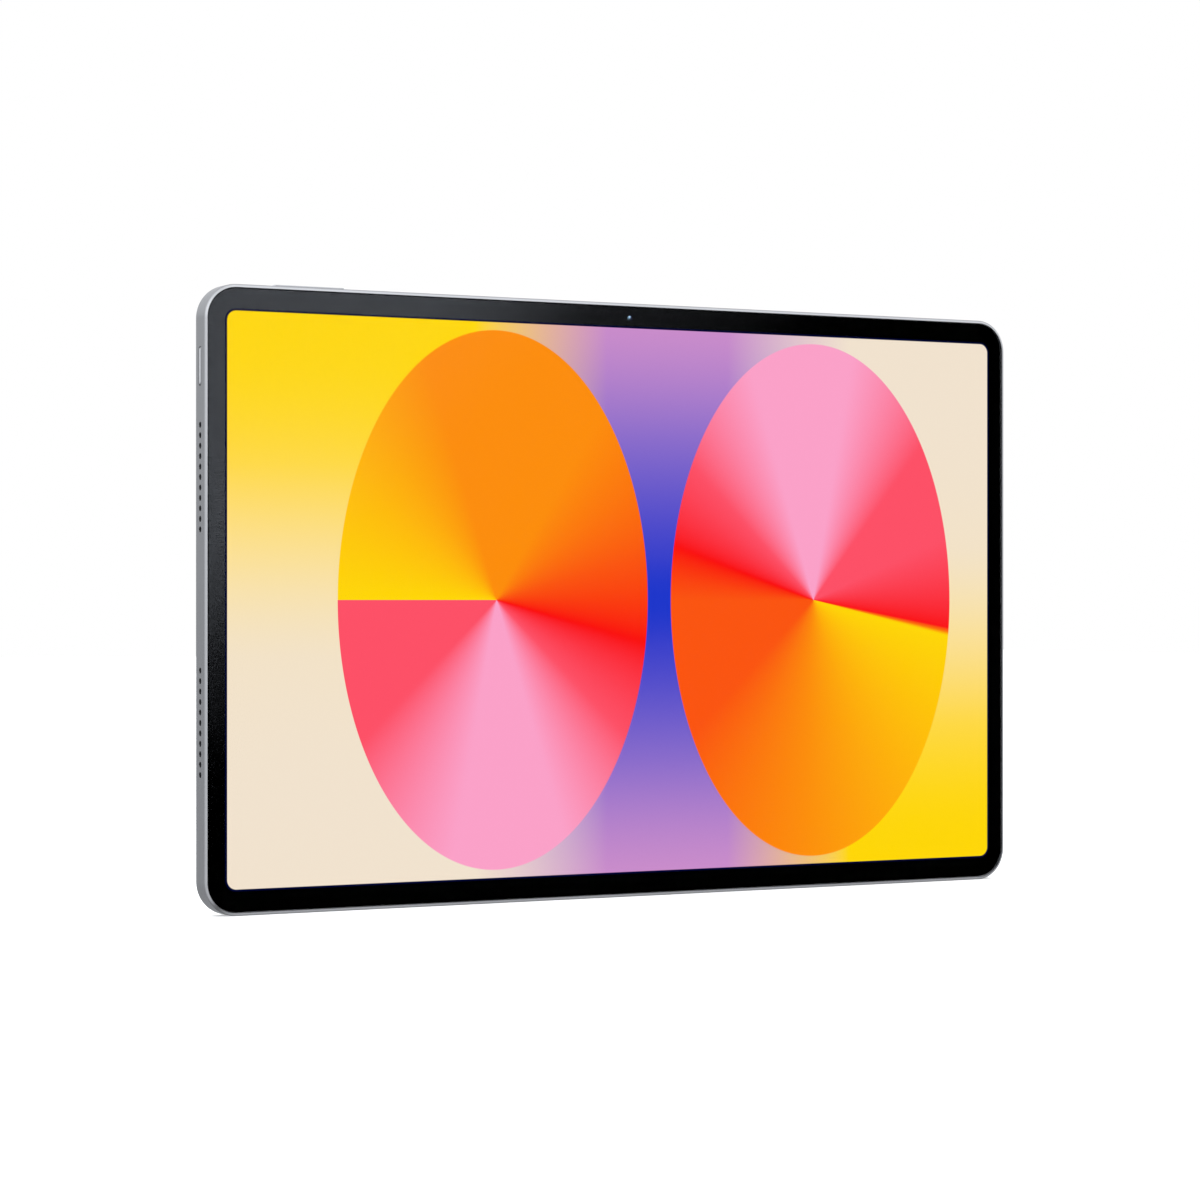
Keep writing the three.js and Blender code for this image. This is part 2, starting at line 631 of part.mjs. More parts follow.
// ---- Speakers: a box behind each group of holes, with its cone and the dust mesh ----
for (const [side, s] of [
  ["left", -1],
  ["right", 1],
]) {
  const along = (a, b) => (s < 0 ? [-b, -a] : [a, b]);
  const middle = s * (BOX.out - BOX.depth / 2);
  for (const [level, up] of [
    ["lower", -1],
    ["upper", 1],
  ]) {
    const z = up * GRILLE.z;
    const shell = block(
      along(BOX.out - BOX.depth, BOX.out),
      [BOX.front, BOX.back],
      around(z, BOX.half),
    );
    const basin = plate(pill(BASIN.width, BASIN.length, middle, z), BOX.front - 1, BASIN.back, 4);
    const throat = block(
      along(BOX.out - THROAT.reach, BOX.out + 1),
      around(0, THROAT.depth),
      around(z, THROAT.half),
    );
    const magnet = plate(pill(MAGNET.width, MAGNET.length, middle, z), MAGNET.front, MAGNET.back, 4);
    add(`speaker_box_${level}_${side}`, join(cut(shell, basin, throat), magnet), BLACK_PLASTIC);
    const cone = plate(pill(CONE.width, CONE.length, middle, z), CONE.front, CONE.back);
    add(`speaker_cone_${level}_${side}`, cone, CHIP);
    const cloth = block(
      along(CAVITY.x - CLOTH.in, CAVITY.x - CLOTH.out),
      around(0, CLOTH.depth),
      around(z, CLOTH.half),
    );
    add(`speaker_mesh_${level}_${side}`, cloth, MESH_CLOTH);
  }
}
add(
  "microphone",
  block(around(MIC.x, MIC.half), around(0, MIC.depth), [CAVITY.z - MIC.bottom, CAVITY.z - MIC.top]),
  STEEL,
);

// ---- Charging port: the socket on its small board, and the cable to the main board ----
const shellBack = SOCKET.mouth - SOCKET.depth;
const socketSlot = (inset) => pill(SOCKET.height - 2 * inset, SOCKET.width - 2 * inset);
add(
  "charging_socket_shell",
  cut(
    across(socketSlot(0), shellBack, SOCKET.mouth, 5),
    across(socketSlot(SOCKET.wall), shellBack + SOCKET.base, SOCKET.mouth + 1, 5),
  ),
  STEEL,
);
const tongueRoot = shellBack + TONGUE.root;
add(
  "charging_socket_tongue",
  join(
    across(socketSlot(SOCKET.wall + FIT), shellBack + TONGUE.start, tongueRoot, 5),
    block(
      [tongueRoot - WELD, SOCKET.mouth - TONGUE.sunk],
      around(0, TONGUE.depth),
      around(0, TONGUE.half),
    ),
  ),
  BLACK_PLASTIC,
);
add(
  "charge_board",
  cut(
    block(
      [CHARGE_BOARD.left, CHARGE_BOARD.right],
      [CHARGE_BOARD.front, CHARGE_BOARD.back],
      around(0, CHARGE_BOARD.half),
    ),
    ...CHARGE_SCREWS.map(([x, z]) => bar(SCREW.way, x, z, CHARGE_BOARD.front - 1, SPARE)),
  ),
  CIRCUIT_BOARD,
);
const chargeCable = polygon([
  [CHARGE_CABLE.inner, -CHARGE_RUN.half],
  [CHARGE_CABLE.right, -CHARGE_RUN.half],
  [CHARGE_CABLE.right, CHARGE_RUN.half],
  [CHARGE_CABLE.outer, CHARGE_RUN.half],
  [CHARGE_CABLE.outer, CHARGE_RUN.top],
  [CHARGE_CABLE.left, CHARGE_RUN.top],
  [CHARGE_CABLE.left, CHARGE_RUN.turn],
  [CHARGE_CABLE.inner, CHARGE_RUN.turn],
]);
add("charge_flex", plate(chargeCable, CHARGE_CABLE.front, CHARGE_CABLE.back), FLEX);

// ---- Screws: a flat head on the board, and a shank down into its boss ----
function screw(name, x, z, face, tip) {
  const profile = [
    [0, face - SCREW.height],
    [SCREW.head, face - SCREW.height],
    [SCREW.head, face - AIR],
    [SCREW.shank, face - AIR],
    [SCREW.shank, tip],
    [0, tip],
  ];
  add(name, turned(profile, x, z, 12), STEEL);
}
MAIN_SCREWS.forEach(([x, z], i) =>
  screw(`main_board_screw_${i + 1}`, x, z, BOARD.front, SCREW.mainTip),
);
CHARGE_SCREWS.forEach(([x, z], i) =>
  screw(`charge_board_screw_${i + 1}`, x, z, CHARGE_BOARD.front, SCREW.chargeTip),
);

tablet.position.z = HALF_H;

export default tablet;
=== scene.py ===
import math
import random

import bmesh
import bpy
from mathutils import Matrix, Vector


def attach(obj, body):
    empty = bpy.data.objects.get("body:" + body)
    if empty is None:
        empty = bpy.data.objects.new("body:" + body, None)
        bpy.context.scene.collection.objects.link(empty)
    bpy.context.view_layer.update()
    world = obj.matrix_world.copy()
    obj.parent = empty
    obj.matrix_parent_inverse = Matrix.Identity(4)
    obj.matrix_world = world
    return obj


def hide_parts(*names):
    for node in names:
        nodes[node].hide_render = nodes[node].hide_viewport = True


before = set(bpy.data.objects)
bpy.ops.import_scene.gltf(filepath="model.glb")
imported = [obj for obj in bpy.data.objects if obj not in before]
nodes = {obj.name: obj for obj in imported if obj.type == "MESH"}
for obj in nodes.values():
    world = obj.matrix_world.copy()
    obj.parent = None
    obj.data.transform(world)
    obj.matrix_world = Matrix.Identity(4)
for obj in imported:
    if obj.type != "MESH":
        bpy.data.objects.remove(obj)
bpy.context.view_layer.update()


# ---- Camera ----
# Level with the middle of the tablet, off to its left, far enough away to flatten the perspective.

bpy.ops.object.camera_add(
    location=(-0.4907, -0.8699, 0.0888), rotation=(math.pi / 2, 0, math.radians(-28.987))
)
camera = bpy.context.object
camera.name = "camera"
camera.data.lens = 99.8
camera.data.sensor_width = 36
camera.data.clip_start = 0.01
bpy.context.scene.camera = camera
bpy.context.scene.view_settings.view_transform = "Standard"


# ---- Studio: pale floor and a lit room ----
# A matte white floor that the tablet stands on. It is kept out of the glass, so that the border
# of the screen stays black. The room is white all round but dark in front, with one soft light.


def new_material(name):
    material = bpy.data.materials.new(name)
    material.use_nodes = True
    tree = material.node_tree
    return material, tree, tree.nodes["Principled BSDF"]


bpy.ops.object.select_all(action="DESELECT")
bpy.ops.mesh.primitive_plane_add(size=6, location=(0, 1.0, 0))
floor = bpy.context.object
floor.name = "floor"
material, tree, shader = new_material("floor paint")
shader.inputs["Base Color"].default_value = (0.93, 0.93, 0.93, 1)
shader.inputs["Roughness"].default_value = 0.9
shader.inputs["Specular IOR Level"].default_value = 0.0
shader.inputs["Emission Color"].default_value = (1, 1, 1, 1)
shader.inputs["Emission Strength"].default_value = 0.3
floor.data.materials.append(material)
floor.visible_glossy = False
floor.visible_transmission = False

world = bpy.data.worlds.new("room")
bpy.context.scene.world = world
world.use_nodes = True
tree = world.node_tree
tree.nodes.clear()


def link_math(tree, operation, a, b=None):
    """One step of arithmetic on two sockets or numbers."""
    node = tree.nodes.new("ShaderNodeMath")
    node.operation = operation
    for slot, value in zip(node.inputs, (a, b)):
        if isinstance(value, (int, float)):
            slot.default_value = value
        elif value is not None:
            tree.links.new(value, slot)
    return node.outputs[0]


def link_range(tree, factor, low, high, to_low, to_high, blend="LINEAR"):
    """Turns the span from low to high into another span, and holds it beyond both ends."""
    node = tree.nodes.new("ShaderNodeMapRange")
    node.interpolation_type = blend
    for name, value in zip(("From Min", "From Max", "To Min", "To Max"), (low, high, to_low, to_high)):
        node.inputs[name].default_value = value
    tree.links.new(factor, node.inputs["Value"])
    return node.outputs["Result"]


direction = tree.nodes.new("ShaderNodeTexCoord").outputs["Generated"]


def turned_to(axis):
    """How far the direction looked in turns toward an axis."""
    node = tree.nodes.new("ShaderNodeVectorMath")
    node.operation = "DOT_PRODUCT"
    tree.links.new(direction, node.inputs[0])
    node.inputs[1].default_value = axis
    return node.outputs["Value"]


def rising(axis, low, high, dark=0, bright=1):
    """A level that goes smoothly from dark to bright as the direction turns toward an axis."""
    return link_range(tree, turned_to(axis), low, high, dark, bright, "SMOOTHSTEP")


behind = rising((0, 1, 0), -0.62, -0.36)
to_right = rising((1, 0, 0), 0.3, 0.75, 1, 0.7)
to_left = rising((-1, 0, 0), 0.2, 0.45)
higher = rising((0, 0, 1), -0.05, 0.2, 0.65, 1.25)
around = link_math(tree, "MAXIMUM", link_math(tree, "MULTIPLY", behind, to_right), to_left)
lit_sides = link_math(tree, "MULTIPLY", around, higher)
room = link_math(tree, "MAXIMUM", lit_sides, rising((0, 0, 1), 0.35, 0.6))

# The soft light in front: its lower right edge runs slantwise, and it ends well to the left. A
# faint spill of light reaches a little past that edge.
edge = rising((-0.83, -0.4585, 1.0), 0.0724, 0.1395)
spill = link_range(tree, turned_to((-0.699, -0.389, 1.0)), 0.035, 0.075, 0, 0.14)
spill = link_math(tree, "MULTIPLY", spill, rising((0, 0, 1), -0.05, -0.03))
left_end = rising((0.874, 0.486, 0), -0.3, -0.2)
soft = link_math(tree, "MULTIPLY", link_math(tree, "MAXIMUM", edge, spill), left_end)
level = link_math(tree, "MAXIMUM", room, soft)

seen = tree.nodes.new("ShaderNodeBackground")
seen.inputs["Color"].default_value = (1, 1, 1, 1)
lighting = tree.nodes.new("ShaderNodeBackground")
lighting.inputs["Color"].default_value = (0.94, 0.97, 1.0, 1)
tree.links.new(level, lighting.inputs["Strength"])
by_ray = tree.nodes.new("ShaderNodeMixShader")
tree.links.new(tree.nodes.new("ShaderNodeLightPath").outputs["Is Camera Ray"], by_ray.inputs["Fac"])
tree.links.new(lighting.outputs[0], by_ray.inputs[1])
tree.links.new(seen.outputs[0], by_ray.inputs[2])
output = tree.nodes.new("ShaderNodeOutputWorld")
tree.links.new(by_ray.outputs[0], output.inputs["Surface"])

bpy.ops.object.light_add(type="AREA", location=(0, 1, 5), rotation=(0, 0, 0))
overhead = bpy.context.object
overhead.name = "overhead light"
overhead.data.size = 12
overhead.data.energy = 420
overhead.visible_glossy = False


# ---- Metal body ----
# One aluminium tray, milled from plate: back, four walls, a ledge for the glass, and the openings.
# It is bead-blasted and anodised grey, then its front edge is cut bright with a diamond tool.

MM = 0.001
MID = 88.8  # height of the middle of the body above its bottom edge, in mm


def rounded_bar(name, low, high, along, corner, steps):
    """A bar between two corners in mm, with its four edges along one axis rounded."""
    bpy.ops.object.select_all(action="DESELECT")
    low, high = Vector(low) * MM, Vector(high) * MM
    bpy.ops.mesh.primitive_cube_add(size=1, location=(low + high) / 2, scale=high - low)
    bar = bpy.context.object
    bar.name = bar.data.name = name
    bpy.ops.object.transform_apply(location=True, rotation=True, scale=True)
    round_edges(bar, lambda a, b: abs((b - a)["xyz".index(along)]) > 1e-7, corner, steps)
    return bar


def round_edges(piece, test, amount, steps):
    """Bevels each edge whose two ends, in metres, pass the test. amount is in mm."""
    bpy.context.view_layer.objects.active = piece
    bpy.ops.object.mode_set(mode="EDIT")
    bpy.ops.mesh.select_mode(type="EDGE")
    bpy.ops.mesh.select_all(action="DESELECT")
    shape = bmesh.from_edit_mesh(piece.data)
    for edge in shape.edges:
        if test(edge.verts[0].co, edge.verts[1].co):
            edge.select_set(True)
    bmesh.update_edit_mesh(piece.data)
    bpy.ops.mesh.bevel(offset=amount * MM, segments=steps, affect="EDGES", clamp_overlap=False)
    bpy.ops.object.mode_set(mode="OBJECT")


def at(axis, value):
    """A test for the edges that lie in one plane, at a value in mm on the axis."""
    i = "xyz".index(axis)
    return lambda a, b: abs(a[i] - value * MM) < 1e-6 and abs(b[i] - value * MM) < 1e-6


def pick_faces(piece, test):
    """Leaves the piece in edit mode with only the faces that pass selected."""
    bpy.context.view_layer.objects.active = piece
    bpy.ops.object.mode_set(mode="EDIT")
    bpy.ops.mesh.select_mode(type="FACE")
    bpy.ops.mesh.select_all(action="DESELECT")
    shape = bmesh.from_edit_mesh(piece.data)
    for face in shape.faces:
        if test(face.calc_center_median() / MM, face.normal):
            face.select_set(True)
    bmesh.update_edit_mesh(piece.data)


def combine(piece, tool, operation):
    """Cuts the tool from the piece, or welds it on, and clears the tool away."""
    bpy.ops.object.select_all(action="DESELECT")
    bpy.context.view_layer.objects.active = piece
    piece.select_set(True)
    bpy.ops.object.modifier_add(type="BOOLEAN")
    step = piece.modifiers[-1]
    step.operation = operation
    step.solver = "EXACT"
    step.object = tool
    bpy.ops.object.modifier_apply(modifier=step.name)
    bpy.data.objects.remove(tool)


def round_tool(radius, low, high, steps=24):
    """A round bar in mm between two points that differ along one axis."""
    low, high = Vector(low) * MM, Vector(high) * MM
    run = high - low
    turn = (0, 0, 0)
    if abs(run.x) > 1e-7:
        turn = (0, math.pi / 2, 0)
    elif abs(run.y) > 1e-7:
        turn = (math.pi / 2, 0, 0)
    bpy.ops.object.select_all(action="DESELECT")
    bpy.ops.mesh.primitive_cylinder_add(
        vertices=steps, radius=radius * MM, depth=run.length, location=(low + high) / 2, rotation=turn
    )
    bpy.ops.object.transform_apply(location=True, rotation=True, scale=True)
    return bpy.context.object


def copy_at(piece, move, turn=0.0):
    """A copy with its own mesh, turned about Z and then moved, in mm."""
    bpy.ops.object.select_all(action="DESELECT")
    copy = bpy.data.objects.new(piece.name, piece.data.copy())
    bpy.context.collection.objects.link(copy)
    copy.rotation_euler.z = turn
    copy.location = Vector(move) * MM
    bpy.context.view_layer.objects.active = copy
    copy.select_set(True)
    bpy.ops.object.transform_apply(location=True, rotation=True, scale=True)
    return copy


def gather(pieces):
    """Joins several meshes into the first."""
    bpy.ops.object.select_all(action="DESELECT")
    for piece in pieces:
        piece.select_set(True)
    bpy.context.view_layer.objects.active = pieces[0]
    bpy.ops.object.join()
    return pieces[0]


def shade(piece, angle=30):
    """Smooth rounds and flat faces: large faces keep their own direction."""
    bpy.ops.object.select_all(action="DESELECT")
    bpy.context.view_layer.objects.active = piece
    piece.select_set(True)
    bpy.ops.object.shade_smooth_by_angle(angle=math.radians(angle))
    bpy.ops.object.modifier_add(type="WEIGHTED_NORMAL")
    step = piece.modifiers[-1]
    step.keep_sharp = True
    step.weight = 100
    bpy.ops.object.modifier_apply(modifier=step.name)


def finish_piece(piece, material, body="tablet", stands_for=()):
    piece.data.materials.clear()
    piece.data.materials.append(material)
    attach(piece, body)
    if stands_for:
        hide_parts(*stands_for)


HALF_WIDTH, CORNER, FRONT, BACK = 136.9, 9.7, -3.35, 3.5
LEDGE, FLOOR = -2.6, 2.7  # the depths of the ledge and of the floor of the tray
LEDGE_WIDTH = 1.4
RIM_WIDTH, RIM_DEPTH, RIM_FOOT = 0.82, 0.5, 0.08  # the slanted cut, and the flat at its foot
low, high = (-HALF_WIDTH, FRONT + RIM_DEPTH, 0), (HALF_WIDTH, BACK, 2 * MID)
body = rounded_bar("metal_body", low, high, "y", CORNER, 24)
round_edges(body, at("y", BACK), 0.6, 6)
pick_faces(body, lambda c, n: n.y < -0.99)
bpy.ops.mesh.inset(thickness=RIM_WIDTH * MM, depth=RIM_DEPTH * MM)
bpy.ops.mesh.inset(thickness=RIM_FOOT * MM)
bpy.ops.mesh.extrude_region_move(TRANSFORM_OT_translate={"value": (0, (LEDGE - FRONT) * MM, 0)})
bpy.ops.mesh.inset(thickness=LEDGE_WIDTH * MM)
bpy.ops.mesh.extrude_region_move(TRANSFORM_OT_translate={"value": (0, (FLOOR - LEDGE) * MM, 0)})
bpy.ops.mesh.select_all(action="SELECT")
bpy.ops.mesh.normals_make_consistent(inside=False)
bpy.ops.object.mode_set(mode="OBJECT")

BOSSES = [(-62, 46), (-62, 79), (51, 79), (103, 46)]
CHARGE_BOSSES = [(119.5, 9.5), (119.5, -9.5)]
POST, TAP = 1.5, 0.6  # radii of a boss and of the threaded hole in it
BOSS_TOP, CHARGE_BOSS_TOP = 1.45, 2.38
posts = [round_tool(POST, (x, BOSS_TOP, MID + z), (x, 2.9, MID + z)) for x, z in BOSSES]
posts += [round_tool(POST, (x, CHARGE_BOSS_TOP, MID + z), (x, 2.9, MID + z)) for x, z in CHARGE_BOSSES]
combine(body, gather(posts), "UNION")
taps = [round_tool(TAP, (x, 0, MID + z), (x, 3.0, MID + z), 12) for x, z in BOSSES + CHARGE_BOSSES]

# The speaker holes: one drill, with a light countersink at the outside, copied along each wall.
HOLE, WIDENED = 0.82, 1.2  # radius of a hole, and how much wider the countersink gets
drill = round_tool(HOLE, (HALF_WIDTH - 4, 0, 0), (HALF_WIDTH - 0.1, 0, 0), 20)
pick_faces(drill, lambda c, n: n.x > 0.9)
bpy.ops.mesh.extrude_region_move(TRANSFORM_OT_translate={"value": (0.3 * MM, 0, 0)})
bpy.ops.transform.resize(value=(1, WIDENED, WIDENED), center_override=(HALF_WIDTH * MM, 0, 0))
bpy.ops.object.mode_set(mode="OBJECT")
GROUP_MIDDLE, PITCH, EACH_WAY = 34.45, 2.93, 5
drills = []
for group in (-GROUP_MIDDLE, GROUP_MIDDLE):
    for i in range(-EACH_WAY, EACH_WAY + 1):
        drills.append(copy_at(drill, (0, 0, MID + group + i * PITCH)))
for tool in list(drills):
    drills.append(copy_at(tool, (0, 0, 0), turn=math.pi))
bpy.data.objects.remove(drill)
combine(body, gather(drills + taps), "DIFFERENCE")

openings = [
    rounded_bar("key slot", (-138, -1.1, MID + 60.05), (-133, 1.1, MID + 71.15), "x", 1.099, 10),
    rounded_bar("socket mouth", (133, -1.73, MID - 4.62), (138, 1.73, MID + 4.62), "x", 1.729, 12),
    rounded_bar("volume slot", (-115.05, -1.15, MID + 85), (-92.55, 1.15, MID + 90), "z", 1.149, 10),
    round_tool(0.5, (52, 0, MID + 85), (52, 0, MID + 90)),  # to the microphone
    rounded_bar("front camera room", (-3.4, -3.2, MID + 85), (3.4, 1.9, MID + 87.4), "y", 0.3, 2),
    rounded_bar("island seat", (93.9, 3.1, MID + 60.7), (126.1, 5, MID + 76.9), "y", 8.09, 24),
    rounded_bar("camera way", (96.5, 2, MID + 63.3), (123.5, 3.3, MID + 74.3), "y", 5.49, 16),
]
for side in (-1, 1):
    start, end = sorted((side * 30.95, side * 81.05))
    low, high = (start, 2, MID + 83.15), (end, 5, MID + 84.85)
    openings.append(rounded_bar("antenna slot", low, high, "y", 0.849, 8))
for opening in openings:
    combine(body, opening, "DIFFERENCE")
shade(body)

anodised, tree, shader = new_material("anodised aluminium")


def link_noise(tree, scale, detail=3.0, stretch=(1, 1, 1)):
    """Noise on the object's own coordinates; scale counts features in a metre."""
    place = tree.nodes.new("ShaderNodeTexCoord")
    mapping = tree.nodes.new("ShaderNodeMapping")
    mapping.inputs["Scale"].default_value = stretch
    noise = tree.nodes.new("ShaderNodeTexNoise")
    noise.inputs["Scale"].default_value = scale
    noise.inputs["Detail"].default_value = detail
    noise.inputs["Roughness"].default_value = 0.55
    tree.links.new(place.outputs["Object"], mapping.inputs["Vector"])
    tree.links.new(mapping.outputs[0], noise.inputs["Vector"])
    return noise.outputs["Fac"]


def link_ramp(tree, factor, stops, blend="EASE"):
    """A colour ramp: stops are (position, colour)."""
    ramp = tree.nodes.new("ShaderNodeValToRGB")
    ramp.color_ramp.interpolation = blend
    while len(ramp.color_ramp.elements) < len(stops):
        ramp.color_ramp.elements.new(0.5)
    for element, (position, colour) in zip(ramp.color_ramp.elements, stops):
        element.position = position
        element.color = (*colour, 1)
    tree.links.new(factor, ramp.inputs["Fac"])
    return ramp.outputs["Color"]


def link_bump(tree, shader, height, depth_mm, strength=1.0):
    bump = tree.nodes.new("ShaderNodeBump")
    bump.inputs["Distance"].default_value = depth_mm * MM
    bump.inputs["Strength"].default_value = strength
    tree.links.new(height, bump.inputs["Height"])
    tree.links.new(bump.outputs[0], shader.inputs["Normal"])


def link_mix(tree, factor, a, b):
    """Mixes two colours, each a socket or a triple."""
    mix = tree.nodes.new("ShaderNodeMix")
    mix.data_type = "RGBA"
    tree.links.new(factor, mix.inputs["Factor"])
    for slot, value in ((mix.inputs[6], a), (mix.inputs[7], b)):
        if isinstance(value, tuple):
            slot.default_value = (*value, 1)
        else:
            tree.links.new(value, slot)
    return mix.outputs[2]


def link_axes(tree):
    """The object's own X, Y and Z as three sockets, in metres."""
    place = tree.nodes.new("ShaderNodeTexCoord")
    split = tree.nodes.new("ShaderNodeSeparateXYZ")
    tree.links.new(place.outputs["Object"], split.inputs[0])
    return split.outputs


def metal_finish(tree, shader, bright_edge):
    """Blasted and anodised grain; bright_edge is a 0 to 1 socket where the cut is polished."""
    grain = link_noise(tree, 2600, 4)
    cloud = link_noise(tree, 30, 2)
    skin = link_ramp(tree, grain, [(0.3, (0.275, 0.275, 0.285)), (0.7, (0.335, 0.335, 0.348))])
    skin = link_mix(tree, link_range(tree, cloud, 0.3, 0.7, 0, 0.35), skin, (0.29, 0.29, 0.3))
    roughness = link_range(tree, grain, 0.3, 0.7, 0.36, 0.46)
    shader.inputs["Metallic"].default_value = 1.0
    tone = link_mix(tree, bright_edge, skin, (0.66, 0.66, 0.68))
    tree.links.new(tone, shader.inputs["Base Color"])
    polish = tree.nodes.new("ShaderNodeMix")
    tree.links.new(bright_edge, polish.inputs["Factor"])
    tree.links.new(roughness, polish.inputs[2])
    polish.inputs[3].default_value = 0.24
    tree.links.new(polish.outputs[0], shader.inputs["Roughness"])
    link_bump(tree, shader, grain, 0.004, 0.5)


metal_finish(tree, shader, link_range(tree, link_axes(tree)["Y"], -2.82 * MM, -3.1 * MM, 0, 1))
finish_piece(body, anodised, stands_for=["rear_housing"])


# ---- Antenna windows ----
# Two strips of grey moulded plastic, pressed flush into slots in the back. Radio waves pass through
# them, as they cannot through the metal.


def link_tone(tree, shader, factor, dark, light):
    """Base colour between two tones, by a noise or other pattern."""
    tree.links.new(link_ramp(tree, factor, [(0.3, dark), (0.7, light)]), shader.inputs["Base Color"])


def link_gloss(tree, shader, factor, low, high):
    """Roughness between two values, by a noise or other pattern."""
    tree.links.new(link_range(tree, factor, 0.3, 0.7, low, high), shader.inputs["Roughness"])


def grained(name, grain, tones, gloss, relief=None, metal=0.0):
    """A material whose tone, gloss and relief all follow one fine grain."""
    material, tree, shader = new_material(name)
    pattern = link_noise(tree, *grain)
    link_tone(tree, shader, pattern, *tones)
    link_gloss(tree, shader, pattern, *gloss)
    shader.inputs["Metallic"].default_value = metal
    if relief:
        link_bump(tree, shader, pattern, *relief)
    return material


def dress(material, *names):
    """Gives CAD pieces that keep their shape a better material."""
    for name in names:
        nodes[name].material_slots[0].material = material


greys = ((0.13, 0.13, 0.137), (0.165, 0.165, 0.17))
resin = grained("antenna plastic", (4000, 3), greys, (0.5, 0.62), (0.003,))
dress(resin, "antenna_window_left", "antenna_window_right")


# ---- Keys ----
# The power key in the left wall and the volume key in the top wall, milled from the body's metal. One
# has a polished face, the other a polished edge. A flange inside the wall keeps each one in.


def cut_edge_metal(name, axis, start, end):
    """The body's metal, with a polished cut between two places in mm on one of the axes."""
    material, tree, shader = new_material(name)
    place = link_axes(tree)[axis]
    starting = link_range(tree, place, (start - 0.01) * MM, (start + 0.01) * MM, 0, 1)
    ending = link_range(tree, place, (end - 0.01) * MM, (end + 0.01) * MM, 1, 0)
    metal_finish(tree, shader, link_math(tree, "MULTIPLY", starting, ending))
    return material


FACE, FOOT, TOP = -137.02, MID + 60.15, MID + 71.05
power_key = rounded_bar("power_key_cap", (FACE, -1, FOOT), (-134.4, 1, TOP), "x", 0.999, 10)
round_edges(power_key, at("x", FACE), 0.6, 4)
flange = rounded_bar("flange", (-134.5, -1.45, FOOT - 0.8), (-134.0, 1.45, TOP + 0.8), "x", 1.44, 8)
combine(power_key, flange, "UNION")
post = rounded_bar("post", (-134.1, -0.6, MID + 64.6), (-133.7, 0.6, MID + 66.6), "x", 0.2, 2)
combine(power_key, post, "UNION")
shade(power_key)
power_metal = cut_edge_metal("power key aluminium", "X", -138, -136.99)
finish_piece(power_key, power_metal, "power_key", ["power_button"])

LEFT, RIGHT, FACE = -114.85, -92.75, MID + 89.35
volume_key = rounded_bar("volume_key_cap", (LEFT, -1.05, MID + 86.1), (RIGHT, 1.05, FACE), "z", 1.049, 10)
round_edges(volume_key, at("z", FACE), 0.22, 3)
low, high = (LEFT - 1.1, -1.45, MID + 85.8), (RIGHT + 1.1, 1.45, MID + 86.2)
flange = rounded_bar("flange", low, high, "z", 1.44, 8)
combine(volume_key, flange, "UNION")
for x in (-110.8, -96.8):
    post = rounded_bar("post", (x - 1, -0.6, MID + 85.4), (x + 1, 0.6, MID + 85.9), "z", 0.2, 2)
    combine(volume_key, post, "UNION")
shade(volume_key)
volume_metal = cut_edge_metal("volume key aluminium", "Z", MID + 88.6, MID + 89.33)
finish_piece(volume_key, volume_metal, "volume_key", ["volume_rocker"])


# ---- Cover glass ----
# One sheet of hardened glass over the whole front, with a ground and polished round at its edge. A
# thin coating against reflections leaves it with much less shine than bare glass.

GLASS_GAP = 1.0  # from the edge of the glass to the outside of the body
GLASS_FRONT, GLASS_BACK = -3.5, -2.9
side = HALF_WIDTH - GLASS_GAP
low, high = (-side, GLASS_FRONT, GLASS_GAP), (side, GLASS_BACK, 2 * MID - GLASS_GAP)
glass = rounded_bar("front_glass", low, high, "y", CORNER - GLASS_GAP, 24)
round_edges(glass, at("y", GLASS_FRONT), 0.22, 4)
shade(glass)
clear, tree, shader = new_material("clear hardened glass")
shader.inputs["Base Color"].default_value = (0.985, 0.99, 0.99, 1)
shader.inputs["Transmission Weight"].default_value = 1.0
shader.inputs["IOR"].default_value = 1.12
smear = link_noise(tree, 60, 4)
tree.links.new(link_range(tree, smear, 0.4, 0.75, 0.0, 0.02), shader.inputs["Roughness"])
finish_piece(glass, clear, stands_for=["cover_glass"])


# ---- Printed border ----
# A glossy black ink frame printed on the back of the glass. It hides the tape and the edge of the
# panel, and has a small round opening for the front camera.

INK_GAP = 1.2
INK_FRONT, INK_BACK = -2.89, -2.87
OPEN_LEFT, OPEN_RIGHT, HALF_OPEN = -130.6, 131.1, 81.9  # the sides of the opening for the panel
LENS_HEIGHT = MID + 84.4  # of the front camera
side = HALF_WIDTH - INK_GAP
low, high = (-side, INK_FRONT, INK_GAP), (side, INK_BACK, 2 * MID - INK_GAP)
border = rounded_bar("printed_border", low, high, "y", CORNER - INK_GAP, 24)
low, high = (OPEN_LEFT, -3, MID - HALF_OPEN), (OPEN_RIGHT, -2.8, MID + HALF_OPEN)
combine(border, rounded_bar("opening", low, high, "y", 3.3, 12), "DIFFERENCE")
combine(border, round_tool(1.25, (0, -3, LENS_HEIGHT), (0, -2.8, LENS_HEIGHT), 32), "DIFFERENCE")
shade(border)
ink, tree, shader = new_material("black ink")
tone = link_noise(tree, 900, 2)
ink_tones = [(0.3, (0.0002, 0.0002, 0.0002)), (0.7, (0.0005, 0.0005, 0.0006))]
tree.links.new(link_ramp(tree, tone, ink_tones), shader.inputs["Base Color"])
link_gloss(tree, shader, tone, 0.04, 0.07)
shader.inputs["Specular IOR Level"].default_value = 0.72
shader.inputs["Specular Tint"].default_value = (0.885, 0.912, 1.0, 1)
finish_piece(border, ink)


# ---- Bonding tape ----
# Black foam tape, cut as one thin frame. It bonds the back of the glass to the ledge of the body,
# and keeps dust out.

blacks = ((0.004, 0.004, 0.004), (0.009, 0.009, 0.0095))
tape = grained("black foam tape", (5000, 2), blacks, (0.75, 0.95), (0.02,))
dress(tape, "display_adhesive")


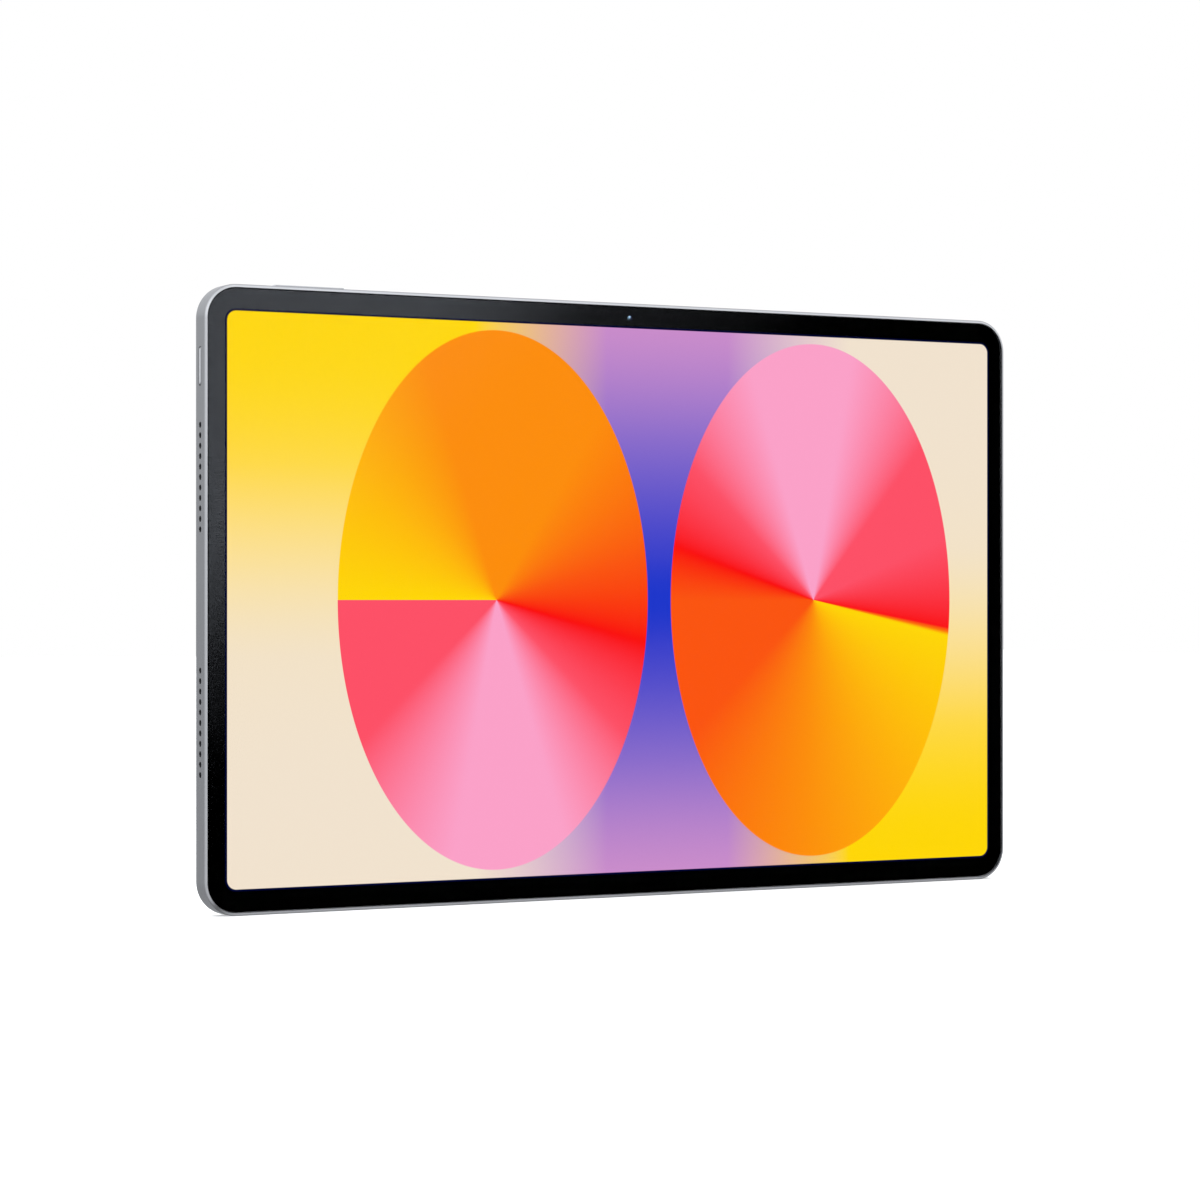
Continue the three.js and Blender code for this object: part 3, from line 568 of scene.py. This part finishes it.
# ---- Display panel ----
# A liquid crystal panel, lit from behind. Its picture is two tall ovals with sweeps of colour round
# their middles, over three upright bands that melt into each other. Round it runs an unlit margin.

picture, tree, shader = new_material("lit picture")
axes = link_axes(tree)
PICTURE_MIDDLE = 0.3  # to the right of the middle of the body, in mm
HALF_PICTURE = (130.25, 81.35)
HALF_OVAL = (51, 79)


def lin(colour):
    """A colour written as 0 to 255 display values, as the linear light that a panel gives."""
    return tuple((c / 255 / 12.92) if c <= 10 else ((c / 255 + 0.055) / 1.055) ** 2.4 for c in colour)


def colour_run(factor, stops, blend="LINEAR"):
    """Colour that changes between stops of (position, display colour)."""
    return link_ramp(tree, factor, [(position, lin(colour)) for position, colour in stops], blend)


def sweep(cx, cz, stops):
    """Colour by the angle round a point in mm: 0 is left of it, then below, right and above it."""
    place = tree.nodes.new("ShaderNodeTexCoord")
    upright = tree.nodes.new("ShaderNodeMapping")
    upright.inputs["Rotation"].default_value = (-math.pi / 2, 0, 0)
    upright.inputs["Location"].default_value = (-cx * MM, -(MID + cz) * MM, 0)
    tree.links.new(place.outputs["Object"], upright.inputs["Vector"])
    angle = tree.nodes.new("ShaderNodeTexGradient")
    angle.gradient_type = "RADIAL"
    tree.links.new(upright.outputs[0], angle.inputs["Vector"])
    return colour_run(angle.outputs["Fac"], stops)


def oval(cx, cz, half_width, half_height):
    """1 inside an oval in mm, 0 outside, with a narrow soft edge."""
    flat = tree.nodes.new("ShaderNodeCombineXYZ")
    tree.links.new(axes["X"], flat.inputs[0])
    tree.links.new(axes["Z"], flat.inputs[1])
    round_it = tree.nodes.new("ShaderNodeMapping")
    round_it.vector_type = "TEXTURE"
    round_it.inputs["Location"].default_value = (cx * MM, (MID + cz) * MM, 0)
    round_it.inputs["Scale"].default_value = (half_width * MM, half_height * MM, 1)
    tree.links.new(flat.outputs[0], round_it.inputs["Vector"])
    reach = tree.nodes.new("ShaderNodeVectorMath")
    reach.operation = "LENGTH"
    tree.links.new(round_it.outputs[0], reach.inputs[0])
    return link_range(tree, reach.outputs["Value"], 0.9985, 1.0015, 1, 0)


def melt(start, end):
    """0 to the left of start and 1 to the right of end, in mm across the picture."""
    return link_range(tree, axes["X"], start * MM, end * MM, 0, 1)


YELLOW, AMBER, ORANGE = (254, 213, 6), (254, 185, 8), (252, 140, 10)
FLAME, RED, CORAL = (250, 84, 15), (250, 14, 12), (252, 80, 102)
PINK, ORCHID, VIOLET = (250, 160, 199), (211, 145, 201), (131, 108, 202)
BLUE, CREAM, STRAW = (11, 50, 201), (240, 225, 205), (250, 225, 158)
foot, top = (MID - HALF_PICTURE[1]) * MM, (MID + HALF_PICTURE[1]) * MM
height = link_range(tree, axes["Z"], foot, top, 0, 1)
left_stops = [(0, CREAM), (0.4, CREAM), (0.56, STRAW), (0.74, YELLOW), (1, YELLOW)]
middle_stops = [(0, ORCHID), (0.2, VIOLET), (0.42, BLUE), (0.58, BLUE), (0.8, VIOLET), (1, ORCHID)]
right_stops = [(0, YELLOW), (0.26, YELLOW), (0.44, STRAW), (0.6, CREAM), (1, CREAM)]
left_band = colour_run(height, left_stops, "B_SPLINE")
middle_band = colour_run(height, middle_stops, "B_SPLINE")
right_band = colour_run(height, right_stops, "B_SPLINE")
colour = link_mix(tree, melt(-52, -8), left_band, middle_band)
colour = link_mix(tree, melt(34, 78), colour, right_band)
left_sweep = [(0, CORAL), (0.12, CORAL), (0.22, PINK), (0.3, PINK), (0.38, CORAL), (0.46, RED)]
left_sweep += [(0.54, FLAME), (0.66, ORANGE), (0.8, ORANGE), (0.9, AMBER), (0.999, YELLOW)]
right_sweep = [(0, FLAME), (0.12, FLAME), (0.24, ORANGE), (0.36, AMBER), (0.465, YELLOW), (0.47, RED)]
right_sweep += [(0.56, CORAL), (0.64, CORAL), (0.72, PINK), (0.8, PINK)]
right_sweep += [(0.88, CORAL), (0.95, RED), (1, FLAME)]
for middle, stops in ((-45, left_sweep), (65, right_sweep)):
    colour = link_mix(tree, oval(middle, 0, *HALF_OVAL), colour, sweep(middle, 0, stops))


def past_straight(socket, middle, half, corner):
    """How far a place is past the straight part of the picture's side, in metres, or 0."""
    away = link_math(tree, "ABSOLUTE", link_math(tree, "SUBTRACT", socket, middle * MM))
    return link_math(tree, "MAXIMUM", link_math(tree, "SUBTRACT", away, (half - corner) * MM), 0.0)


def link_reach(tree, across, up):
    """The distance of a place that lies so far across and so far up."""
    squares = [link_math(tree, "POWER", part, 2.0) for part in (across, up)]
    return link_math(tree, "SQRT", link_math(tree, "ADD", *squares))


PICTURE_CORNER = 2.8
over_x = past_straight(axes["X"], PICTURE_MIDDLE, HALF_PICTURE[0], PICTURE_CORNER)
over_z = past_straight(axes["Z"], MID, HALF_PICTURE[1], PICTURE_CORNER)
start, end = (PICTURE_CORNER - 0.04) * MM, (PICTURE_CORNER + 0.04) * MM
lit = link_range(tree, link_reach(tree, over_x, over_z), start, end, 1, 0)
glow = link_mix(tree, lit, (0.0, 0.001, 0.026), colour)
tree.links.new(glow, shader.inputs["Emission Color"])
shader.inputs["Emission Strength"].default_value = 1.03
shader.inputs["Base Color"].default_value = (0.002, 0.002, 0.003, 1)
shader.inputs["Specular IOR Level"].default_value = 0.0
dots = link_noise(tree, 8000, 1)
link_gloss(tree, shader, dots, 0.25, 0.35)
dress(picture, "lcd_panel")


# ---- Behind the panel ----
# Diffuser and prism films, an acrylic light guide printed with white dots that grow away from the
# lamps, and a row of white lamps with yellow phosphor along its bottom edge, in a pressed steel tray.


def own_place(tree, pattern):
    """Lays a pattern on the object's own coordinates."""
    place = tree.nodes.new("ShaderNodeTexCoord")
    tree.links.new(place.outputs["Object"], pattern.inputs["Vector"])


film, tree, shader = new_material("prism film")
ridges = tree.nodes.new("ShaderNodeTexWave")
ridges.inputs["Scale"].default_value = 1200
own_place(tree, ridges)
pale = [(0, (0.78, 0.8, 0.83)), (1, (0.9, 0.91, 0.93))]
tree.links.new(link_ramp(tree, ridges.outputs["Fac"], pale), shader.inputs["Base Color"])
link_gloss(tree, shader, link_noise(tree, 300), 0.16, 0.3)
dress(film, "optical_film_stack")

guide, tree, shader = new_material("dotted light guide")
cells = tree.nodes.new("ShaderNodeTexVoronoi")
cells.inputs["Scale"].default_value = 700
cells.inputs["Randomness"].default_value = 0.15
own_place(tree, cells)
dot_edge = link_range(tree, link_axes(tree)["Z"], 6 * MM, 170 * MM, 0.15, 0.42)
dot = link_math(tree, "LESS_THAN", cells.outputs["Distance"], dot_edge)
acrylic, white = (0.72, 0.76, 0.78), (0.92, 0.92, 0.92)
tree.links.new(link_mix(tree, dot, acrylic, white), shader.inputs["Base Color"])
tree.links.new(link_range(tree, dot, 0, 1, 0.06, 0.6), shader.inputs["Roughness"])
dress(guide, "light_guide_plate")

lamp, tree, shader = new_material("white lamp")
turns = link_math(tree, "PINGPONG", link_axes(tree)["X"], 2.2 * MM)
phosphor = link_range(tree, turns, 1.0 * MM, 1.05 * MM, 0, 1)
white, yellow = (0.86, 0.86, 0.84), (0.85, 0.72, 0.12)
tree.links.new(link_mix(tree, phosphor, white, yellow), shader.inputs["Base Color"])
link_gloss(tree, shader, link_noise(tree, 3000), 0.35, 0.5)
dress(lamp, "backlight_led_strip", "flash_led")

ROLLED = (500, 5, (1, 8, 12))  # drawn out along the way it was rolled
steels = ((0.5, 0.5, 0.51), (0.66, 0.66, 0.665))
steel = grained("rolled steel", ROLLED, steels, (0.26, 0.42), (0.004, 0.6), metal=1.0)
dress(steel, "backlight_tray", "shield_can_processor", "shield_can_radio")
dress(steel, "rear_camera_body", "microphone")

graphite, tree, shader = new_material("graphite foil")
flakes = tree.nodes.new("ShaderNodeTexVoronoi")
flakes.inputs["Scale"].default_value = 1500
own_place(tree, flakes)
greys = [(0.1, (0.035, 0.035, 0.037)), (0.8, (0.075, 0.075, 0.078))]
tree.links.new(link_ramp(tree, flakes.outputs["Distance"], greys), shader.inputs["Base Color"])
shader.inputs["Metallic"].default_value = 0.35
dullness = link_range(tree, flakes.outputs["Distance"], 0, 0.8, 0.42, 0.6)
tree.links.new(dullness, shader.inputs["Roughness"])
dress(graphite, "graphite_sheet")


# ---- Boards ----
# Glass-fibre circuit boards under green solder mask, with copper tracks that show as raised paths,
# and moulded chips with a fine matte skin.

mask, tree, shader = new_material("green board")
tracks = tree.nodes.new("ShaderNodeTexBrick")
tracks.inputs["Scale"].default_value = 420
tracks.inputs["Mortar Size"].default_value = 0.08
tracks.inputs["Brick Width"].default_value = 1.7
tracks.inputs["Row Height"].default_value = 0.3
tracks.inputs["Color1"].default_value = (0.008, 0.07, 0.032, 1)
tracks.inputs["Color2"].default_value = (0.012, 0.095, 0.045, 1)
tracks.inputs["Mortar"].default_value = (0.004, 0.035, 0.018, 1)
place = tree.nodes.new("ShaderNodeTexCoord")
turned = tree.nodes.new("ShaderNodeMapping")
turned.inputs["Rotation"].default_value = (math.pi / 2, 0, 0)
tree.links.new(place.outputs["Object"], turned.inputs["Vector"])
tree.links.new(turned.outputs[0], tracks.inputs["Vector"])
bare = link_range(tree, link_noise(tree, 90, 3), 0.45, 0.55, 0, 1)
greens = link_mix(tree, bare, tracks.outputs["Color"], (0.008, 0.06, 0.03))
tree.links.new(greens, shader.inputs["Base Color"])
link_gloss(tree, shader, link_noise(tree, 900), 0.28, 0.4)
link_bump(tree, shader, tracks.outputs["Fac"], -0.03, 0.6)
dress(mask, "main_board", "battery_protection_board", "display_driver_board", "charge_board")

blacks = ((0.012, 0.012, 0.013), (0.024, 0.024, 0.025))
epoxy = grained("moulded chip", (6000, 3), blacks, (0.4, 0.58), (0.006,))
dress(epoxy, "processor_chip", "storage_chip", "radio_chip")

amber, tree, shader = new_material("amber flexible circuit")
lanes = tree.nodes.new("ShaderNodeTexWave")
lanes.inputs["Scale"].default_value = 320
own_place(tree, lanes)
ambers = [(0.3, (0.16, 0.06, 0.012)), (0.6, (0.42, 0.19, 0.045))]
tree.links.new(link_ramp(tree, lanes.outputs["Fac"], ambers), shader.inputs["Base Color"])
link_gloss(tree, shader, link_noise(tree, 700), 0.2, 0.36)
link_bump(tree, shader, lanes.outputs["Fac"], 0.01)
dress(amber, "display_flex", "battery_flex", "charge_flex", "key_flex")


# ---- Battery ----
# Two flat lithium cells in heat-sealed foil pouches, wrapped in black film that creases a little.

CREASES = (70, 6, (1, 1, 0.4))
blacks = ((0.018, 0.018, 0.02), (0.04, 0.04, 0.044))
pouch = grained("battery pouch", CREASES, blacks, (0.24, 0.4), (0.25, 0.7))
dress(pouch, "battery_cell_left", "battery_cell_right")


# ---- Moulded black pieces ----
# Speaker boxes, the front camera's body and the switches: black plastic with a fine spark-eroded
# texture from the mould. The speakers also have a film cone and a woven mesh against dust.

blacks = ((0.012, 0.012, 0.013), (0.026, 0.026, 0.028))
black = grained("moulded black plastic", (5000, 3), blacks, (0.42, 0.6), (0.006,))
dress(black, "front_camera_body", "power_switch", "volume_up_switch", "volume_down_switch")
film_tones = ((0.016, 0.016, 0.018), (0.034, 0.034, 0.037))
cone_film = grained("speaker cone film", (1500, 2), film_tones, (0.28, 0.45), (0.02,))

cloth, tree, shader = new_material("woven dust mesh")
weave = []
for across in ("Y", "Z"):
    threads = tree.nodes.new("ShaderNodeTexWave")
    threads.bands_direction = across
    threads.inputs["Scale"].default_value = 1600
    own_place(tree, threads)
    weave.append(threads.outputs["Fac"])
cross = link_math(tree, "MULTIPLY", *weave)
thread_tones = [(0.1, (0.02, 0.02, 0.021)), (0.7, (0.003, 0.003, 0.003))]
tree.links.new(link_ramp(tree, cross, thread_tones), shader.inputs["Base Color"])
shader.inputs["Roughness"].default_value = 0.85
link_bump(tree, shader, cross, -0.03)
for place in ("lower_left", "upper_left", "lower_right", "upper_right"):
    dress(black, f"speaker_box_{place}")
    dress(cone_film, f"speaker_cone_{place}")
    dress(cloth, f"speaker_mesh_{place}")


# ---- Front camera ----
# A small moulded glass lens under the opening in the printed border: a black mount with a recess,
# and a domed front element with a shiny blue coating. The coating's tint is painted by side, pale blue
# at the left and violet at the right, as painted reflection colour for the glints there.


def raise_dome(centre, steps):
    """Grows the selected face into a dome: each step is a rise along Y in mm and a shrink."""
    for rise, shrink in steps:
        bpy.ops.mesh.extrude_region_move(TRANSFORM_OT_translate={"value": (0, rise * MM, 0)})
        bpy.ops.transform.resize(value=(shrink, 1, shrink), center_override=Vector(centre) * MM)


MOUNT, WALL, RECESS = 1.5, 0.55, 0.35  # the mount's radius, its wall, and how deep it is cut
front_lens = round_tool(MOUNT, (0, -2.85, LENS_HEIGHT), (0, -1.52, LENS_HEIGHT), 32)
front_lens.name = front_lens.data.name = "front_camera_glass"
pick_faces(front_lens, lambda c, n: n.y < -0.99)
bpy.ops.mesh.inset(thickness=WALL * MM)
bpy.ops.mesh.extrude_region_move(TRANSFORM_OT_translate={"value": (0, RECESS * MM, 0)})
bpy.ops.mesh.inset(thickness=0.12 * MM)
raise_dome((0, 0, LENS_HEIGHT), [(-0.1, 0.86), (-0.07, 0.78), (-0.04, 0.6)])
bpy.ops.object.mode_set(mode="OBJECT")
shade(front_lens, 40)
lens_front, tree, shader = new_material("front camera lens")
axes = link_axes(tree)
reach = link_reach(tree, axes["X"], link_math(tree, "SUBTRACT", axes["Z"], LENS_HEIGHT * MM))
coating = link_range(tree, reach, 0.76 * MM, 0.8 * MM, 1, 0)
# Painted reflection colour: the coating's tint runs from pale blue at the left to violet at the right, to
# colour the glints there.
painted_glint_hue = link_range(tree, axes["X"], -0.3 * MM, 0.6 * MM, 0, 1)
shine = link_mix(tree, painted_glint_hue, (0.5, 0.78, 1.0), (0.4, 0.42, 0.85))
tree.links.new(link_mix(tree, coating, (0.002, 0.002, 0.003), shine), shader.inputs["Base Color"])
tree.links.new(coating, shader.inputs["Metallic"])
link_gloss(tree, shader, link_noise(tree, 2000), 0.1, 0.16)
finish_piece(front_lens, lens_front, stands_for=["front_camera_lens"])


# ---- Main camera and flash ----
# A raised aluminium island on the back holds a clear window, printed black round the lens, and a
# ribbed flash lens. Behind the window the lens moves in its housing to focus.

LENS_X, LENS_Z, FLASH_X = 117, MID + 68.8, 103
ISLAND_BACK, WINDOW_BACK, BARREL_BACK = 4.3, 4.22, 3.2


def bore(piece, x, widths):
    """Stepped round holes in from the back: each width is a radius and where it starts, in mm."""
    for radius, start in widths:
        combine(piece, round_tool(radius, (x, start, LENS_Z), (x, 6, LENS_Z), 48), "DIFFERENCE")


low, high = (94, 3.12, LENS_Z - 8), (126, ISLAND_BACK, LENS_Z + 8)
island = rounded_bar("island", low, high, "y", 7.99, 24)
round_edges(island, at("y", ISLAND_BACK), 0.3, 3)
bore(island, LENS_X, [(4.6, 3.85), (3.7, 2)])
bore(island, FLASH_X, [(2.2, 3.28), (1.4, 2)])
shade(island)
island_metal = cut_edge_metal("island aluminium", "Y", 4.02, 4.28)
finish_piece(island, island_metal, stands_for=["camera_island"])

window = round_tool(4.5, (LENS_X, 3.87, LENS_Z), (LENS_X, WINDOW_BACK, LENS_Z), 64)
window.name = window.data.name = "camera_window"
round_edges(window, at("y", WINDOW_BACK), 0.1, 2)
shade(window)
finish_piece(window, clear, stands_for=["rear_camera_window"])
print_ring = round_tool(4.4, (LENS_X, 3.854, LENS_Z), (LENS_X, 3.866, LENS_Z), 64)
print_ring.name = print_ring.data.name = "window_print"
bore(print_ring, LENS_X, [(2.4, 3)])
shade(print_ring)
finish_piece(print_ring, ink)

barrel = round_tool(3.0, (LENS_X, 0.6, LENS_Z), (LENS_X, BARREL_BACK, LENS_Z), 48)
barrel.name = barrel.data.name = "lens_barrel"
round_edges(barrel, at("y", BARREL_BACK), 0.2, 3)
pick_faces(barrel, lambda c, n: n.y > 0.99)
for narrower, deeper in ((0.7, -0.12), (0.12, -0.14), (0.12, -0.14), (0.12, -0.1)):
    bpy.ops.mesh.inset(thickness=narrower * MM)
    bpy.ops.mesh.extrude_region_move(TRANSFORM_OT_translate={"value": (0, deeper * MM, 0)})
bpy.ops.object.mode_set(mode="OBJECT")
shade(barrel)
finish_piece(barrel, black, "focusing_lens", ["rear_camera_lens_barrel"])
element = round_tool(1.7, (LENS_X, 2.71, LENS_Z), (LENS_X, 2.76, LENS_Z), 48)
element.name = element.data.name = "lens_element"
pick_faces(element, lambda c, n: n.y > 0.99)
raise_dome((LENS_X, 0, LENS_Z), [(0.08, 0.9), (0.07, 0.84), (0.05, 0.76), (0.03, 0.6)])
bpy.ops.object.mode_set(mode="OBJECT")
shade(element, 40)
coated, tree, shader = new_material("coated lens glass")
facing = tree.nodes.new("ShaderNodeLayerWeight")
facing.inputs["Blend"].default_value = 0.35
tints = [(0.0, (0.004, 0.006, 0.02)), (0.5, (0.01, 0.012, 0.05)), (1.0, (0.03, 0.01, 0.05))]
tint = link_ramp(tree, facing.outputs["Facing"], tints)
cloudy = link_range(tree, link_noise(tree, 2000), 0.4, 0.6, 0, 0.4)
tree.links.new(link_mix(tree, cloudy, tint, (0.004, 0.004, 0.008)), shader.inputs["Base Color"])
shader.inputs["Roughness"].default_value = 0.03
shader.inputs["Coat Weight"].default_value = 1.0
shader.inputs["Coat Roughness"].default_value = 0.02
shader.inputs["Coat Tint"].default_value = (0.6, 0.75, 1.0, 1)
shader.inputs["IOR"].default_value = 1.8
finish_piece(element, coated, "focusing_lens")

ribbed, tree, shader = new_material("ribbed flash lens")
rings = tree.nodes.new("ShaderNodeTexWave")
rings.wave_type = "RINGS"
rings.rings_direction = "Y"
rings.inputs["Scale"].default_value = 900
place = tree.nodes.new("ShaderNodeTexCoord")
centred = tree.nodes.new("ShaderNodeMapping")
centred.inputs["Location"].default_value = (-FLASH_X * MM, 0, -LENS_Z * MM)
tree.links.new(place.outputs["Object"], centred.inputs["Vector"])
tree.links.new(centred.outputs[0], rings.inputs["Vector"])
phosphor = [(0, (0.34, 0.29, 0.11)), (1, (0.5, 0.46, 0.27))]
tree.links.new(link_ramp(tree, rings.outputs["Fac"], phosphor), shader.inputs["Base Color"])
link_gloss(tree, shader, link_noise(tree, 2500), 0.08, 0.2)
link_bump(tree, shader, rings.outputs["Fac"], 0.05)
dress(ribbed, "flash_lens")


# ---- Charging socket ----
# A deep-drawn steel shell with a plastic tongue down its middle. The tongue carries twelve gold
# contacts on each face, and the shell sits flush in the right wall.

SHEET = 0.25  # thickness of the shell
DEEP, TALL, MOUTH = 1.58, 4.47, 136.7  # half its depth, half its height, and where it opens
socket = rounded_bar("socket_shell", (129.5, -DEEP, MID - TALL), (MOUTH, DEEP, MID + TALL), "x", 1.579, 16)
low, high = (129.8, SHEET - DEEP, MID + SHEET - TALL), (138, DEEP - SHEET, MID + TALL - SHEET)
combine(socket, rounded_bar("mouth", low, high, "x", 1.579 - SHEET, 16), "DIFFERENCE")
round_edges(socket, at("x", MOUTH), 0.08, 2)
shade(socket)
finish_piece(socket, steel, stands_for=["charging_socket_shell"])

TIP = 135.9
tongue = rounded_bar("socket_tongue", (131.0, -0.35, MID - 3.35), (TIP, 0.35, MID + 3.35), "x", 0.12, 3)
round_edges(tongue, at("x", TIP), 0.15, 2)
root = rounded_bar("root", (129.85, -1.23, MID - 4.12), (131.1, 1.23, MID + 4.12), "x", 1.229, 12)
combine(tongue, root, "UNION")
shade(tongue)
finish_piece(tongue, black, stands_for=["charging_socket_tongue"])

contact = rounded_bar("contact", (131.4, -0.37, -0.125), (135.5, -0.34, 0.125), "y", 0.05, 2)
CONTACTS, PITCH, OTHER_FACE = 12, 0.5, 0.71
contacts = []
for face in (0, OTHER_FACE):
    for i in range(CONTACTS):
        contacts.append(copy_at(contact, (0, face, MID + (i - (CONTACTS - 1) / 2) * PITCH)))
bpy.data.objects.remove(contact)
contacts = gather(contacts)
contacts.name = contacts.data.name = "socket_contacts"
shade(contacts)
RUBBED = (4000, 3, (1, 6, 6))  # along the way a plug slides
golds = ((0.78, 0.55, 0.2), (0.92, 0.68, 0.28))
gold = grained("gold plating", RUBBED, golds, (0.18, 0.3), metal=1.0)
finish_piece(contacts, gold)


# ---- Small components ----
# Ceramic capacitors with tinned ends, soldered in loose rows on the main board, and the two black
# plugs that the display's and the battery's flat cables end in.

random.seed(12)
browns = ((0.23, 0.15, 0.085), (0.34, 0.235, 0.14))
ceramic = grained("capacitor ceramic", (5000, 3), browns, (0.35, 0.55))
tins = ((0.52, 0.52, 0.53), (0.72, 0.72, 0.72))
tin = grained("solder tin", (3500, 3), tins, (0.2, 0.38), metal=1.0)
middle_part = rounded_bar("capacitor", (-0.3, 0.13, -0.23), (0.3, 0.595, 0.23), "x", 0.04, 1)
end_part = rounded_bar("end", (-0.5, 0.1, -0.25), (-0.3, 0.598, 0.25), "x", 0.05, 1)
end_part = gather([end_part, copy_at(end_part, (0, 0, 0), turn=math.pi)])
bodies, ends = [], []
STEP, LEFT_EMPTY, SCATTER = 3, 0.35, 0.4  # from one to the next, how many are missing, how far astray
rows = [(x, z) for z in range(55, 77, STEP) for x in range(-56, 3, STEP)]
rows += [(x, z) for z in range(52, 77, STEP) for x in range(93, 106, STEP)]
for x, z in rows:
    if random.random() < LEFT_EMPTY:
        continue
    place = (x + random.uniform(-SCATTER, SCATTER), 0, MID + z)
    bodies.append(copy_at(middle_part, place))
    ends.append(copy_at(end_part, place))
for model, copies, name, material, slot in (
    (middle_part, bodies, "capacitor_bodies", ceramic, "chip_package"),
    (end_part, ends, "capacitor_ends", tin, "sheet_steel"),
):
    bpy.data.objects.remove(model)
    joined = gather(copies)
    joined.name = joined.data.name = name
    shade(joined)
    finish_piece(joined, material)
for name, start, end, foot in (("display_plug", -41, -23, 47), ("battery_plug", -11.5, -4.5, 46)):
    plug = rounded_bar(name, (start, -0.2, MID + foot), (end, 0.445, MID + foot + 3), "y", 0.3, 2)
    round_edges(plug, at("y", -0.2), 0.12, 1)
    shade(plug)
    finish_piece(plug, black)


# ---- Screws ----
# Six small plated steel screws with flat heads and a cross recess, that hold the boards to their
# bosses. The two at the socket are shorter.

steels = ((0.42, 0.42, 0.43), (0.6, 0.6, 0.61))
plated = grained("plated screw steel", (3000, 4, (1, 4, 1)), steels, (0.22, 0.38), metal=1.0)
HEAD, SHANK, HEAD_HEIGHT = 1.1, 0.52, 0.5  # two radii, and how far the head stands off its board
for group, face, tip, places in (
    ("main_board_screw", 0.6, 2.8, BOSSES),
    ("charge_board_screw", 1.65, 2.9, CHARGE_BOSSES),
):
    screw = round_tool(HEAD, (0, face - HEAD_HEIGHT, 0), (0, face - 0.02, 0), 32)
    round_edges(screw, at("y", face - HEAD_HEIGHT), 0.12, 2)
    combine(screw, round_tool(SHANK, (0, face - 0.1, 0), (0, tip, 0), 20), "UNION")
    for half_x, half_z in ((0.75, 0.16), (0.16, 0.75)):
        low, high = (-half_x, face - 0.8, -half_z), (half_x, face - 0.26, half_z)
        combine(screw, rounded_bar("recess", low, high, "y", 0.05, 1), "DIFFERENCE")
    shade(screw)
    for i, (x, z) in enumerate(places, 1):
        copy = copy_at(screw, (x, 0, MID + z))
        copy.name = copy.data.name = f"screw_{group.split('_')[0]}_{i}"
        finish_piece(copy, plated, stands_for=[f"{group}_{i}"])
    bpy.data.objects.remove(screw)
